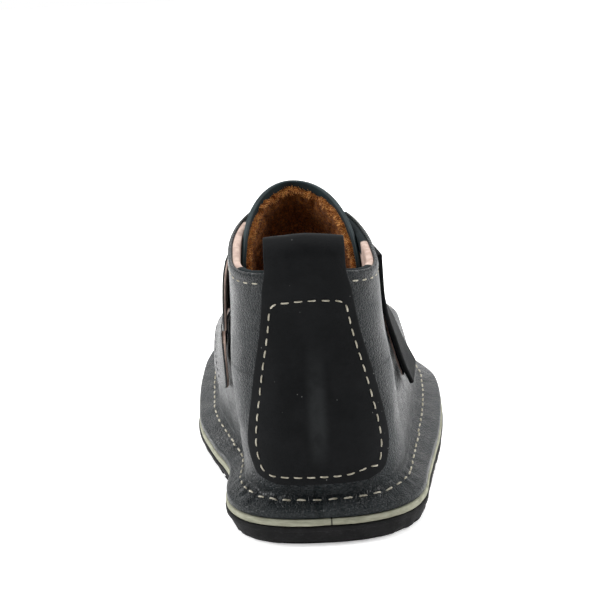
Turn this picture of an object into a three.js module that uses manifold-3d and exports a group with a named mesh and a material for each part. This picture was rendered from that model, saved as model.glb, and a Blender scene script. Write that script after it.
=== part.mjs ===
// Child's barefoot ankle boot, right foot: stitched-down upper, flat rubber sole, tall tongue,
// two straps and a heel patch that runs up into a pull loop.
// Millimetres, +Z up, the toe towards +Y, +X to the outer side of the foot.
import * as THREE from "three";
import { mergeVertices } from "three/addons/utils/BufferGeometryUtils.js";
import Module from "manifold-3d";

const wasm = await Module();
wasm.setup();

// Plan of the sole
const SOLE_LENGTH = 186;
const BALL_WIDTH = 87.6;
const HEEL_WIDTH = 67.6;
const TOE_SPRING = 5;

// Layers of the sole, from the floor up
const OUTSOLE_THICKNESS = 6.8;
const MIDSOLE_THICKNESS = 2.1;
const INSOLE_THICKNESS = 2.6;
const CLEARANCE = 0.3;

// Tread
const GROOVE_WIDTH = 2.4;
const GROOVE_DEPTH = 1.8;
const GROOVE_PITCH = 8.6;
const TREAD_MARGIN = 14;

// Upper
const FLANGE_WIDTH = 7.6;
const FLANGE_THICKNESS = 2.3;
const FLANGE_SETBACK = 0.5;
const WALL = 2.6;
const QUARTER_STEP = 1.1;
const ANKLE_WIDTH = 47;
const SLANT = 5;
const OUTER_DIP = 5.5;
const INNER_DIP = 4;
const TOE_HEIGHT = 33;
const INSTEP_HEIGHT = 58;
const COLLAR_HEIGHT = 91;
const COLLAR_FRONT_HEIGHT = 96;
const QUARTER_FOOT = 58;
const THROAT_WIDTH = 24;
const THROAT_START = 106;

// Tongue
const TONGUE_THICKNESS = 3.6;
const TONGUE_HEIGHT = 104.5;
const TONGUE_LAP = 9;
const TONGUE_WRAP = 0.25;
const TONGUE_DROP = 1;

// Heel patch and pull loop
const PATCH_THICKNESS = 1.4;
const PATCH_FOOT = 20;
const LOOP_RISE = 10.5;
const LOOP_SLACK = 4.2;
const LOOP_TAIL = 15;
const PATCH_GAP = 0.4;

// Straps, their panel and their pads
const STRAP_THICKNESS = 1.3;
const PANEL_THICKNESS = 1.6;
const PAD_THICKNESS = 0.6;
const STRAP_END_LIFT = 0.1;
const STRAP_BRIDGE = 1;
const STRAP_GAP = 0.7;
const PAD_GAP = 0.4;

const MIDSOLE_FOOT = OUTSOLE_THICKNESS + CLEARANCE;
const FLANGE_FOOT = MIDSOLE_FOOT + MIDSOLE_THICKNESS + CLEARANCE;
const FEATHER_HEIGHT = FLANGE_FOOT + FLANGE_THICKNESS;
const FEATHER_INSET = FLANGE_SETBACK + FLANGE_WIDTH;

// Mesh density: columns round the foot and rows up the wall, outside and inside
const AROUND = 64;
const OUTER_ROWS = 16;
const INNER_ROWS = 10;

// The sole's plan. along: share of the length from the heel. centre: sideways shift, share of the
// ball width. flare: 0 is the heel's half width, 1 is the ball's.
const PLAN = [
  { along: 0.0, centre: -0.012, flare: 0.0 },
  { along: 0.15, centre: 0.006, flare: 0.0 },
  { along: 0.25, centre: 0.026, flare: 0.1 },
  { along: 0.36, centre: 0.014, flare: 0.54 },
  { along: 0.49, centre: 0.0, flare: 0.92 },
  { along: 0.61, centre: 0.0, flare: 1.0 },
  { along: 0.69, centre: -0.008, flare: 0.92 },
  { along: 0.77, centre: -0.038, flare: 0.56 },
  { along: 0.86, centre: -0.08, flare: 0.04 },
  { along: 1.0, centre: -0.125, flare: -0.2 },
];
const HEEL_ROUND = 0.44 * HEEL_WIDTH;
const HEEL_POWER = 2.6;
const TOE_ROUND = 0.2 * SOLE_LENGTH;
const TOE_POWER = 2.1;

// Contour rings of the last, from the feather edge up.
// rise: height at the back, share of the shaft. climb: height at the front, where 1 is the toe box,
// 2 the instep and 3 the collar's front. back, front: ends of the ring, share of the sole's length.
// foot: how much of the sole's plan the ring keeps; the rest is width, a share of the ankle's.
// lean: shift to the inner side, share of the ankle's width. blunt: length of the front rounding,
// share of the sole's length. slant: share of the slant.
const RINGS = [
  { rise: 0.0, climb: 0.0, back: 0.0436, front: 0.9564, foot: 1.0, width: 1.2, lean: 0.0, blunt: 0.18, slant: 0.0 },
  { rise: 0.07, climb: 0.25, back: 0.036, front: 0.961, foot: 0.97, width: 1.3, lean: -0.006, blunt: 0.18, slant: 0.3 },
  { rise: 0.17, climb: 0.65, back: 0.034, front: 0.95, foot: 0.9, width: 1.26, lean: -0.014, blunt: 0.18, slant: 0.6 },
  { rise: 0.26, climb: 1.0, back: 0.038, front: 0.915, foot: 0.78, width: 1.18, lean: -0.022, blunt: 0.2, slant: 0.85 },
  { rise: 0.345, climb: 1.2, back: 0.044, front: 0.838, foot: 0.56, width: 1.15, lean: -0.03, blunt: 0.24, slant: 0.85 },
  { rise: 0.45, climb: 1.46, back: 0.051, front: 0.72, foot: 0.34, width: 1.13, lean: -0.038, blunt: 0.26, slant: 0.85 },
  { rise: 0.56, climb: 1.82, back: 0.057, front: 0.612, foot: 0.14, width: 1.1, lean: -0.047, blunt: 0.26, slant: 0.85 },
  { rise: 0.69, climb: 2.18, back: 0.06, front: 0.516, foot: 0.03, width: 1.06, lean: -0.055, blunt: 0.23, slant: 0.8 },
  { rise: 0.84, climb: 2.56, back: 0.058, front: 0.45, foot: 0.0, width: 1.03, lean: -0.061, blunt: 0.2, slant: 0.7 },
  { rise: 1.0, climb: 3.0, back: 0.052, front: 0.398, foot: 0.0, width: 1.0, lean: -0.068, blunt: 0.18, slant: 0.6 },
  { rise: 1.14, climb: 3.3, back: 0.048, front: 0.384, foot: 0.0, width: 0.98, lean: -0.072, blunt: 0.17, slant: 0.6 },
];
const COLLAR_ROW = RINGS.length - 2;

// Half width of the heel patch by height, shares of the collar height and of the heel width.
const PATCH = [
  { height: 0.22, half: 0.2 },
  { height: 0.24, half: 0.265 },
  { height: 0.27, half: 0.29 },
  { height: 0.34, half: 0.307 },
  { height: 0.42, half: 0.3 },
  { height: 0.51, half: 0.282 },
  { height: 0.62, half: 0.257 },
  { height: 0.76, half: 0.222 },
  { height: 0.88, half: 0.202 },
  { height: 1.0, half: 0.19 },
  { height: 1.3, half: 0.188 },
];

// Straps. Heights of the lower and upper edge where each strap starts on the outer side, crosses
// the front and ends on the inner side, shares of the collar height. start, end: how far each strap
// starts and ends from the heel, shares of the sole's length.
const STRAPS = [
  { name: "upper_strap", start: 0.32, end: 0.27, low: [0.6, 0.79, 0.6], high: [0.85, 0.97, 0.88] },
  { name: "lower_strap", start: 0.37, end: 0.3, low: [0.35, 0.6, 0.35], high: [0.53, 0.73, 0.56] },
];

// The panel over the straps' roots: its edges at its foot and its top, shares of the sole's length.
const PANEL = {
  foot: { back: 0.37, front: 0.49, height: 0.31 },
  top: { back: 0.26, front: 0.345, height: 0.9 },
};

const mix = (a, b, t) => a + (b - a) * t;
const clamp = (v, lo, hi) => Math.min(hi, Math.max(lo, v));
const smoothstep = (v) => {
  const t = clamp(v, 0, 1);
  return t * t * (3 - 2 * t);
};

// A smooth curve through one column of a table, read at a place along another column or row index.
function readTable(rows, column, at, key) {
  const place = (i) => (key ? rows[i][key] : i);
  const last = rows.length - 1;
  let i = 0;
  while (i < last - 1 && at > place(i + 1)) i += 1;
  const slope = (k) => {
    const a = Math.max(0, k - 1);
    const b = Math.min(last, k + 1);
    return (rows[b][column] - rows[a][column]) / (place(b) - place(a));
  };
  const step = place(i + 1) - place(i);
  const t = clamp((at - place(i)) / step, 0, 1);
  const p = rows[i][column];
  const q = rows[i + 1][column];
  const ease = t * t * (3 - 2 * t);
  const leave = t * (1 - t) * (1 - t) * step * slope(i);
  const arrive = t * t * (t - 1) * step * slope(i + 1);
  return mix(p, q, ease) + leave + arrive;
}

// 0 at an outline's end and 1 from a rounding's length on.
const roundEnd = (distance, length, power) =>
  Math.pow(1 - Math.pow(1 - clamp(distance / length, 0, 1), power), 1 / power);

const footHalf = (y) =>
  mix(HEEL_WIDTH, BALL_WIDTH, readTable(PLAN, "flare", y / SOLE_LENGTH, "along")) / 2;
const footCentre = (y) => BALL_WIDTH * readTable(PLAN, "centre", y / SOLE_LENGTH, "along");
const springAt = (y) => TOE_SPRING * Math.pow(clamp((y / SOLE_LENGTH - 0.62) / 0.38, 0, 1), 2);

// A point of the sole's edge, moved inwards by inset. turn runs 0 to 1 from the heel by the outer side.
function solePoint(turn, inset, height) {
  const angle = 2 * Math.PI * turn;
  const y = mix(inset, SOLE_LENGTH - inset, (1 - Math.cos(angle)) / 2);
  const side = Math.sin(angle) >= 0 ? 1 : -1;
  const round =
    roundEnd(y - inset, HEEL_ROUND, HEEL_POWER) *
    roundEnd(SOLE_LENGTH - inset - y, TOE_ROUND, TOE_POWER);
  const x = footCentre(y) + side * (footHalf(y) - inset) * round;
  return new THREE.Vector3(x, y, height + springAt(y));
}

// The height that a climb value stands for.
function climbHeight(climb) {
  const stops = [
    FEATHER_HEIGHT,
    TOE_HEIGHT,
    INSTEP_HEIGHT,
    COLLAR_FRONT_HEIGHT,
    COLLAR_FRONT_HEIGHT + (COLLAR_FRONT_HEIGHT - INSTEP_HEIGHT),
  ];
  const i = clamp(Math.floor(climb), 0, stops.length - 2);
  return mix(stops[i], stops[i + 1], climb - i);
}

// Where the outer side draws in: from behind the ankle to the waist.
const slantWindow = (along) => smoothstep((along - 0.08) / 0.24) * (1 - smoothstep((along - 0.51) / 0.27));

// The last: a point of the vamp's outer face, level counted in rings.
function lastPoint(turn, level) {
  const read = (column) => readTable(RINGS, column, level);
  const angle = 2 * Math.PI * turn;
  const share = (1 - Math.cos(angle)) / 2;
  const side = Math.sin(angle) >= 0 ? 1 : -1;
  const back = SOLE_LENGTH * read("back");
  const front = SOLE_LENGTH * read("front");
  const y = mix(back, front, share);
  const foot = read("foot");
  const heelRound = Math.min(HEEL_ROUND, 0.42 * (front - back));
  const round =
    roundEnd(y - back, heelRound, HEEL_POWER) *
    roundEnd(front - y, SOLE_LENGTH * read("blunt"), mix(2, TOE_POWER, foot));
  const half = mix(
    (ANKLE_WIDTH / 2) * read("width"),
    footHalf(y) - FEATHER_INSET,
    foot,
  );
  const slant = SLANT * read("slant") * slantWindow(y / SOLE_LENGTH);
  const middle = foot * footCentre(y) + ANKLE_WIDTH * read("lean") - slant * (1 - round / 2);
  const x = middle + side * (half - slant / 2) * round;
  const rear = mix(FEATHER_HEIGHT, COLLAR_HEIGHT, read("rise"));
  const dip =
    (side > 0 ? OUTER_DIP : INNER_DIP) *
    Math.sin(Math.PI * Math.pow(share, 0.65)) *
    smoothstep((level - 5) / 4);
  const z = mix(rear, climbHeight(read("climb")), share) - dip;
  return new THREE.Vector3(x, y, z + springAt(y));
}

// The outward normal of the last.
function lastNormal(turn, level) {
  const around = 0.004;
  const up = 0.15;
  const lo = Math.max(0, level - up);
  const hi = Math.min(RINGS.length - 1, level + up);
  const a = lastPoint(turn + around, level).sub(lastPoint(turn - around, level));
  const b = lastPoint(turn, hi).sub(lastPoint(turn, lo));
  return a.cross(b).normalize();
}

const offsetPoint = (turn, level, distance) =>
  lastPoint(turn, level).addScaledVector(lastNormal(turn, level), distance);

// The level at which a column of the last reaches a height.
function levelAt(turn, height) {
  let lo = 0;
  let hi = RINGS.length - 1;
  for (let k = 0; k < 24; k += 1) {
    const mid = (lo + hi) / 2;
    if (lastPoint(turn, mid).z < height) lo = mid;
    else hi = mid;
  }
  return (lo + hi) / 2;
}

// The turn and level of the point at a distance from the heel and a height, on one side of the foot.
function placeAt(side, y, height) {
  const turnFor = (level) => {
    const back = SOLE_LENGTH * readTable(RINGS, "back", level);
    const front = SOLE_LENGTH * readTable(RINGS, "front", level);
    const share = clamp((y - back) / (front - back), 0, 1);
    const turn = Math.acos(1 - 2 * share) / (2 * Math.PI);
    return side > 0 ? turn : 1 - turn;
  };
  let lo = 0;
  let hi = RINGS.length - 1;
  for (let k = 0; k < 24; k += 1) {
    const mid = (lo + hi) / 2;
    if (lastPoint(turnFor(mid), mid).z < height) lo = mid;
    else hi = mid;
  }
  const level = (lo + hi) / 2;
  return { turn: turnFor(level), level };
}

// The turn near the heel at which a level lies at a sideways distance from its middle.
function turnAtSide(level, sideways) {
  const middle = lastPoint(0, level).x;
  let lo = 0;
  let hi = 0.24;
  for (let k = 0; k < 24; k += 1) {
    const mid = (lo + hi) / 2;
    if (Math.abs(lastPoint(Math.sign(sideways) * mid, level).x - middle) < Math.abs(sideways)) lo = mid;
    else hi = mid;
  }
  return (Math.sign(sideways) * (lo + hi)) / 2;
}

// A geometry from points and faces, turned so that its faces look outwards.
function closedBody(points, faces) {
  let volume = 0;
  for (const [a, b, c] of faces)
    volume += points[a].dot(new THREE.Vector3().crossVectors(points[b], points[c]));
  const wound = volume < 0 ? faces.map(([a, b, c]) => [a, c, b]) : faces;
  const geometry = new THREE.BufferGeometry().setFromPoints(points);
  geometry.setIndex(wound.flat());
  geometry.computeVertexNormals();
  return geometry;
}

// A ring-shaped body: each section is a closed loop of points, and the sections close on themselves.
function loopBody(sections) {
  const n = sections.length;
  const m = sections[0].length;
  const faces = [];
  for (let i = 0; i < n; i += 1)
    for (let j = 0; j < m; j += 1) {
      const [a, b] = [i * m + j, ((i + 1) % n) * m + j];
      const [c, d] = [((i + 1) % n) * m + ((j + 1) % m), i * m + ((j + 1) % m)];
      faces.push([a, b, c], [a, c, d]);
    }
  return closedBody(sections.flat(), faces);
}

// A flat-ended body of stacked rings, whose point i lies straight across from point n - i.
function stackBody(rings) {
  const n = rings[0].length;
  const faces = [];
  for (let k = 0; k < rings.length - 1; k += 1)
    for (let i = 0; i < n; i += 1) {
      const [a, b] = [k * n + i, k * n + ((i + 1) % n)];
      faces.push([a, b, b + n], [a, b + n, a + n]);
    }
  const top = (rings.length - 1) * n;
  for (let i = 0; i < n / 2; i += 1) {
    const [a, b] = [i, i + 1];
    const [c, d] = [(n - i - 1) % n, (n - i) % n];
    if (i > 0) {
      faces.push([a, d, b]);
      faces.push([top + a, top + b, top + d]);
    }
    if (i < n / 2 - 1) {
      faces.push([b, d, c]);
      faces.push([top + b, top + c, top + d]);
    }
  }
  return closedBody(rings.flat(), faces);
}

// A sheet with a thickness: two equal grids of points, joined round their four edges.
function sheetBody(outer, inner) {
  const rows = outer.length;
  const columns = outer[0].length;
  const shift = rows * columns;
  const faces = [];
  const quad = (a, b, c, d) => faces.push([a, b, c], [a, c, d]);
  const at = (i, j) => i * columns + j;
  for (let i = 0; i < rows - 1; i += 1)
    for (let j = 0; j < columns - 1; j += 1) {
      quad(at(i, j), at(i, j + 1), at(i + 1, j + 1), at(i + 1, j));
      quad(shift + at(i, j), shift + at(i + 1, j), shift + at(i + 1, j + 1), shift + at(i, j + 1));
    }
  const rim = [];
  for (let j = 0; j < columns - 1; j += 1) rim.push(at(0, j));
  for (let i = 0; i < rows - 1; i += 1) rim.push(at(i, columns - 1));
  for (let j = columns - 1; j > 0; j -= 1) rim.push(at(rows - 1, j));
  for (let i = rows - 1; i > 0; i -= 1) rim.push(at(i, 0));
  rim.forEach((a, k) => {
    const b = rim[(k + 1) % rim.length];
    quad(a, shift + a, shift + b, b);
  });
  return closedBody([...outer.flat(), ...inner.flat()], faces);
}

function toManifold(geometry) {
  const plain = geometry.clone();
  plain.deleteAttribute("normal");
  plain.deleteAttribute("uv");
  const merged = mergeVertices(plain, 1e-4);
  return new wasm.Manifold(
    new wasm.Mesh({
      numProp: 3,
      vertProperties: new Float32Array(merged.attributes.position.array),
      triVerts: new Uint32Array(merged.index.array),
    }),
  );
}

function fromManifold(solid) {
  const mesh = solid.getMesh();
  const geometry = new THREE.BufferGeometry();
  geometry.setAttribute("position", new THREE.BufferAttribute(new Float32Array(mesh.vertProperties), 3));
  geometry.setIndex(new THREE.BufferAttribute(new Uint32Array(mesh.triVerts), 1));
  geometry.computeVertexNormals();
  return geometry;
}

const soleRing = (inset, height) =>
  Array.from({ length: AROUND }, (_, i) => solePoint(i / AROUND, inset, height));

// Outsole: the side narrows to the floor, with a rib under the midsole, and bars below.
function outsoleShape() {
  const rings = [
    { inset: 2.6, height: 0 },
    { inset: 1.5, height: 0.12 },
    { inset: 0.7, height: 0.55 },
    { inset: 0.7, height: 0.72 },
    { inset: 0, height: 0.76 },
    { inset: 0, height: 0.96 },
    { inset: 0.4, height: 1 },
  ].map((row) => soleRing(row.inset, row.height * OUTSOLE_THICKNESS));
  let body = toManifold(stackBody(rings));
  const run = SOLE_LENGTH - 2 * TREAD_MARGIN;
  const count = Math.round(run / GROOVE_PITCH);
  const cutDepth = 2 * TOE_SPRING + GROOVE_DEPTH;
  const cut = (width, length, x, y) => {
    const box = new THREE.BoxGeometry(width, length, cutDepth);
    box.translate(x, y, springAt(y) + GROOVE_DEPTH - cutDepth / 2);
    body = body.subtract(toManifold(box));
  };
  for (let k = 0; k <= count; k += 1)
    cut(1.5 * BALL_WIDTH, GROOVE_WIDTH, 0, TREAD_MARGIN + (run * k) / count);
  return fromManifold(body);
}

// Midsole: the light strip between the outsole and the flange.
function midsoleShape() {
  return stackBody([
    soleRing(0.5, MIDSOLE_FOOT),
    soleRing(0.15, MIDSOLE_FOOT + 0.3 * MIDSOLE_THICKNESS),
    soleRing(0.3, MIDSOLE_FOOT + MIDSOLE_THICKNESS),
  ]);
}

// Insole: fills the bottom of the upper, inside its wall.
function insoleShape() {
  const ring = (inset, height) =>
    Array.from({ length: AROUND }, (_, i) => {
      const turn = i / AROUND;
      const p = offsetPoint(turn, 0, -(WALL + CLEARANCE + inset));
      p.z = height + springAt(p.y);
      return p;
    });
  const foot = FLANGE_FOOT;
  return stackBody([ring(0.5, foot), ring(0.3, foot + 0.5 * INSOLE_THICKNESS), ring(1.1, foot + INSOLE_THICKNESS)]);
}

// One closed section of the upper, from the collar's outside down, out along the flange and back up.
function upperSection(turn, step, wall) {
  const flat = (inset, height) => solePoint(turn, inset, height);
  const section = [];
  for (let k = OUTER_ROWS; k >= 1; k -= 1)
    section.push(offsetPoint(turn, (COLLAR_ROW * k) / OUTER_ROWS, step));
  section.push(offsetPoint(turn, 0.25, step * 0.5 + 0.1));
  const feather = lastPoint(turn, 0);
  const edge = flat(FLANGE_SETBACK, FEATHER_HEIGHT);
  section.push(feather.clone().lerp(edge, 0.12));
  section.push(feather.clone().lerp(edge, 0.93));
  section.push(flat(FLANGE_SETBACK, FEATHER_HEIGHT - 0.35 * FLANGE_THICKNESS));
  section.push(flat(FLANGE_SETBACK, FLANGE_FOOT));
  const foot = offsetPoint(turn, 0, -wall);
  section.push(new THREE.Vector3(foot.x, foot.y, FLANGE_FOOT + springAt(foot.y)));
  for (let k = 1; k <= INNER_ROWS; k += 1)
    section.push(offsetPoint(turn, (COLLAR_ROW * k) / INNER_ROWS, -wall));
  const rim = offsetPoint(turn, COLLAR_ROW, -wall * 0.5);
  rim.z += 0.5;
  section.push(rim);
  return section;
}

const upperShell = (step, wall) =>
  toManifold(
    loopBody(Array.from({ length: AROUND }, (_, i) => upperSection(i / AROUND, step, wall))),
  );

// A prism along X from a side-view outline of [y, z] pairs.
function sidePrism(outline) {
  const shape = new THREE.Shape(outline.map(([y, z]) => new THREE.Vector2(y, z)));
  const width = 2 * BALL_WIDTH;
  const geometry = new THREE.ExtrudeGeometry(shape, { depth: width, bevelEnabled: false, steps: 1 });
  const turned = new THREE.Matrix4().makeBasis(
    new THREE.Vector3(0, 1, 0),
    new THREE.Vector3(0, 0, 1),
    new THREE.Vector3(1, 0, 0),
  );
  geometry.applyMatrix4(turned);
  geometry.translate(-width / 2, 0, 0);
  return toManifold(geometry);
}

// The quarters' front edge in side view, from the flange up to the throat.
function quarterEdge() {
  const curve = new THREE.CubicBezierCurve(
    new THREE.Vector2(QUARTER_FOOT, 0.9 * FLANGE_FOOT),
    new THREE.Vector2(1.1 * QUARTER_FOOT, 0.6 * TOE_HEIGHT + FEATHER_HEIGHT),
    new THREE.Vector2(0.85 * THROAT_START, 0.69 * INSTEP_HEIGHT),
    new THREE.Vector2(1.04 * THROAT_START, 0.9 * INSTEP_HEIGHT),
  );
  return curve.getPoints(10).map((p) => [p.x, p.y]);
}

// The throat: a rounded slot along the instep, cut through the front of the shaft.
function throatCutter() {
  const foot = new THREE.Vector3(0, THROAT_START, 0.93 * INSTEP_HEIGHT);
  const top = new THREE.Vector3(0, RINGS[COLLAR_ROW].front * SOLE_LENGTH, COLLAR_FRONT_HEIGHT);
  const along = top.clone().sub(foot).normalize();
  const across = new THREE.Vector3(1, 0, 0);
  const out = new THREE.Vector3().crossVectors(across, along);
  const half = THROAT_WIDTH / 2;
  const reach = 2 * (COLLAR_FRONT_HEIGHT - INSTEP_HEIGHT);
  const narrow = 0.7 * half;
  const shape = new THREE.Shape();
  shape.moveTo(half * 1.25, reach);
  shape.lineTo(half * 1.12, 0.6 * reach);
  shape.lineTo(narrow, narrow);
  shape.absarc(0, narrow, narrow, 0, Math.PI, true);
  shape.lineTo(-half * 1.12, 0.6 * reach);
  shape.lineTo(-half * 1.25, reach);
  const depth = 0.8 * ANKLE_WIDTH;
  const geometry = new THREE.ExtrudeGeometry(shape, { depth, bevelEnabled: false, steps: 1, curveSegments: 8 });
  geometry.translate(ANKLE_WIDTH * RINGS[COLLAR_ROW].lean, 0, -0.55 * depth);
  geometry.applyMatrix4(new THREE.Matrix4().makeBasis(across, along, out).setPosition(foot));
  return toManifold(geometry);
}

// Upper: one hollow solid, the quarters one leather thickness over the vamp.
function upperShape() {
  const vamp = upperShell(0, WALL);
  const thick = upperShell(QUARTER_STEP, WALL * 0.4);
  const back = -SOLE_LENGTH;
  const tall = 3 * COLLAR_HEIGHT;
  const edge = quarterEdge();
  const region = sidePrism([[back, -tall], [QUARTER_FOOT, -tall], ...edge, [edge[edge.length - 1][0], tall], [back, tall]]);
  const quarters = thick.intersect(region);
  return fromManifold(vamp.add(quarters).subtract(throatCutter()));
}

// Tongue: a rounded arch that lines the front of the ankle inside the quarters and stands above them.
function tongueShape() {
  const columns = 20;
  const rows = 12;
  const footLevel = levelAt(0.5, INSTEP_HEIGHT - TONGUE_LAP);
  const peak = levelAt(0.5, TONGUE_HEIGHT);
  const side = COLLAR_ROW - TONGUE_DROP;
  const grid = (depth) =>
    Array.from({ length: rows + 1 }, (_, i) =>
      Array.from({ length: columns + 1 }, (_, j) => {
        const u = Math.sin((Math.PI / 2) * ((2 * j) / columns - 1));
        const v = i / rows;
        const top = mix(side, peak, Math.sqrt(Math.max(0, 1 - Math.pow(Math.abs(u), 2.2))));
        const level = mix(footLevel, top, v);
        const spread = mix(0.06, TONGUE_WRAP, smoothstep(v * 1.15));
        return offsetPoint(0.5 + spread * u, level, -depth);
      }),
    );
  const near = WALL + CLEARANCE;
  return sheetBody(grid(near), grid(near + TONGUE_THICKNESS));
}

// Heel patch: one strip up the back, over the collar as a loop and down inside.
function heelPatchShape() {
  const columns = 12;
  const outerFace = QUARTER_STEP + PATCH_GAP;
  const innerFace = -(WALL + CLEARANCE);
  const patchHeights = PATCH.filter((row) => row.height <= 1).map((row) => row.height * COLLAR_HEIGHT);
  patchHeights[0] = PATCH_FOOT;
  const loopTop = COLLAR_HEIGHT + LOOP_RISE;
  const foldMiddle = (outerFace + innerFace - LOOP_SLACK) / 2;
  const foldInner = (outerFace - innerFace + LOOP_SLACK) / 2;
  const foldRise = loopTop - foldInner - PATCH_THICKNESS;
  const stations = patchHeights.map((z) => ({ z, up: 0, near: outerFace, far: outerFace + PATCH_THICKNESS }));
  stations.push({ z: COLLAR_HEIGHT + 0.35 * LOOP_RISE, up: 0, near: outerFace, far: outerFace + PATCH_THICKNESS });
  for (let k = 0; k <= 5; k += 1) {
    const angle = (Math.PI * k) / 5;
    const far = foldInner + PATCH_THICKNESS;
    stations.push({
      z: foldRise,
      up: foldInner * Math.sin(angle),
      near: foldMiddle + foldInner * Math.cos(angle),
      upFar: far * Math.sin(angle),
      far: foldMiddle + far * Math.cos(angle),
    });
  }
  const tail = [
    { rise: 0.35 * LOOP_RISE, slack: 0.95 },
    { rise: 0.05 * LOOP_RISE, slack: 0.8 },
    { rise: -0.3 * LOOP_TAIL, slack: 0.3 },
    { rise: -0.6 * LOOP_TAIL, slack: 0 },
    { rise: -LOOP_TAIL, slack: 0 },
  ];
  for (const { rise, slack } of tail) {
    const near = innerFace - slack * LOOP_SLACK;
    stations.push({ z: COLLAR_HEIGHT + rise, up: 0, near, far: near - PATCH_THICKNESS });
  }
  const grid = (face) =>
    stations.map((station) => {
      const level = levelAt(0, station.z);
      const half = HEEL_WIDTH * readTable(PATCH, "half", station.z / COLLAR_HEIGHT, "height");
      const distance = station[face];
      const up = face === "far" && station.upFar !== undefined ? station.upFar : station.up;
      return Array.from({ length: columns + 1 }, (_, j) => {
        const side = half * ((2 * j) / columns - 1);
        const turn = side === 0 ? 0 : turnAtSide(level, side);
        const p = offsetPoint(turn, level, distance);
        p.z += up;
        return p;
      });
    });
  return sheetBody(grid("far"), grid("near"));
}

// Height of a strap's edge by share of the way along it.
const edgeHeight = (heights, share) => {
  const [start, middle, end] = heights;
  const bow = 1 - Math.pow(Math.abs(2 * share - 1), 1.7);
  return COLLAR_HEIGHT * (mix(start, end, share) + (middle - mix(start, end, 0.5)) * bow);
};

// A band laid on the outside of the quarters.
function bandShape(columns, rows, turnAt, heightAt, faceAt, thickness) {
  const grid = (extra) =>
    Array.from({ length: rows + 1 }, (_, i) =>
      Array.from({ length: columns + 1 }, (_, j) => {
        const share = j / columns;
        const across = i / rows;
        const turn = turnAt(share, across);
        const level = levelAt(turn, heightAt(share, across));
        return offsetPoint(turn, level, faceAt(share, across) + extra);
      }),
    );
  return sheetBody(grid(thickness), grid(0));
}

// A strap: starts under the panel on the outer side and ends, rounded, on the inner side.
function strapShape(strap) {
  const rest = QUARTER_STEP + STRAP_GAP;
  const overPad = PAD_THICKNESS + PAD_GAP + CLEARANCE - STRAP_GAP;
  const face = (share) => {
    const bridge = STRAP_BRIDGE * (1 - smoothstep(Math.abs(share - 0.5) / 0.25));
    const pad = overPad * smoothstep((share - 0.66) / 0.1);
    const lifted = STRAP_END_LIFT * smoothstep((share - 0.86) / 0.14);
    return rest + bridge + pad + lifted;
  };
  const height = (share, across) =>
    mix(edgeHeight(strap.low, share), edgeHeight(strap.high, share), across);
  const turn = (share, across) => {
    const start = placeAt(1, SOLE_LENGTH * strap.start, height(0, across)).turn;
    const end = placeAt(-1, SOLE_LENGTH * strap.end, height(1, across)).turn;
    const corner = 0.03 * Math.pow(Math.abs(2 * across - 1), 3.5);
    return mix(start, end - corner, share);
  };
  return bandShape(24, 6, turn, height, face, STRAP_THICKNESS);
}

// The panel on the outer side that covers the roots of both straps.
function strapPanelShape() {
  const face = QUARTER_STEP + STRAP_GAP + STRAP_THICKNESS + CLEARANCE;
  const height = (share, across) => COLLAR_HEIGHT * mix(PANEL.foot.height, PANEL.top.height, across);
  const turn = (share, across) => {
    const foot = mix(PANEL.foot.back, PANEL.foot.front, share);
    const top = mix(PANEL.top.back, PANEL.top.front, share);
    return placeAt(1, SOLE_LENGTH * mix(foot, top, across), height(share, across)).turn;
  };
  return bandShape(6, 12, turn, height, () => face, PANEL_THICKNESS);
}

// A pad under a strap's end.
function padShape(strap) {
  const share = (part) => mix(0.79, 0.93, part);
  const height = (part, across) =>
    mix(edgeHeight(strap.low, share(part)), edgeHeight(strap.high, share(part)), mix(0.18, 0.82, across));
  const turn = (part, across) => {
    const start = placeAt(1, SOLE_LENGTH * strap.start, height(0, across)).turn;
    const end = placeAt(-1, SOLE_LENGTH * strap.end, height(1, across)).turn;
    return mix(start, end, share(part));
  };
  return bandShape(6, 5, turn, height, () => QUARTER_STEP + PAD_GAP, PAD_THICKNESS);
}

const material = (color, roughness) => new THREE.MeshStandardMaterial({ color, roughness, metalness: 0 });
const boot = new THREE.Group();
const add = (name, geometry, look) => {
  const mesh = new THREE.Mesh(geometry, look);
  mesh.name = name;
  boot.add(mesh);
};

const leather = material(0x2b3034, 0.55);
const nubuck = material(0x16181a, 0.85);
add("outsole", outsoleShape(), material(0x232226, 0.7));
add("midsole", midsoleShape(), material(0x96957c, 0.8));
add("insole", insoleShape(), material(0x8f6a48, 0.95));
add("upper", upperShape(), leather);
add("tongue", tongueShape(), material(0x8a4f22, 0.95));
add("heel_patch", heelPatchShape(), nubuck);
add("strap_panel", strapPanelShape(), nubuck);
for (const strap of STRAPS) {
  add(strap.name, strapShape(strap), leather);
  add(strap.name.replace("strap", "pad"), padShape(strap), material(0x1c1c1e, 0.95));
}

// The origin is the middle of the part's footprint on the floor.
const bounds = new THREE.Box3().setFromObject(boot);
boot.position.set(-(bounds.min.x + bounds.max.x) / 2, -(bounds.min.y + bounds.max.y) / 2, 0);

export default boot;
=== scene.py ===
import math

import bpy
import numpy as np
from mathutils import Matrix, Vector


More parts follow.
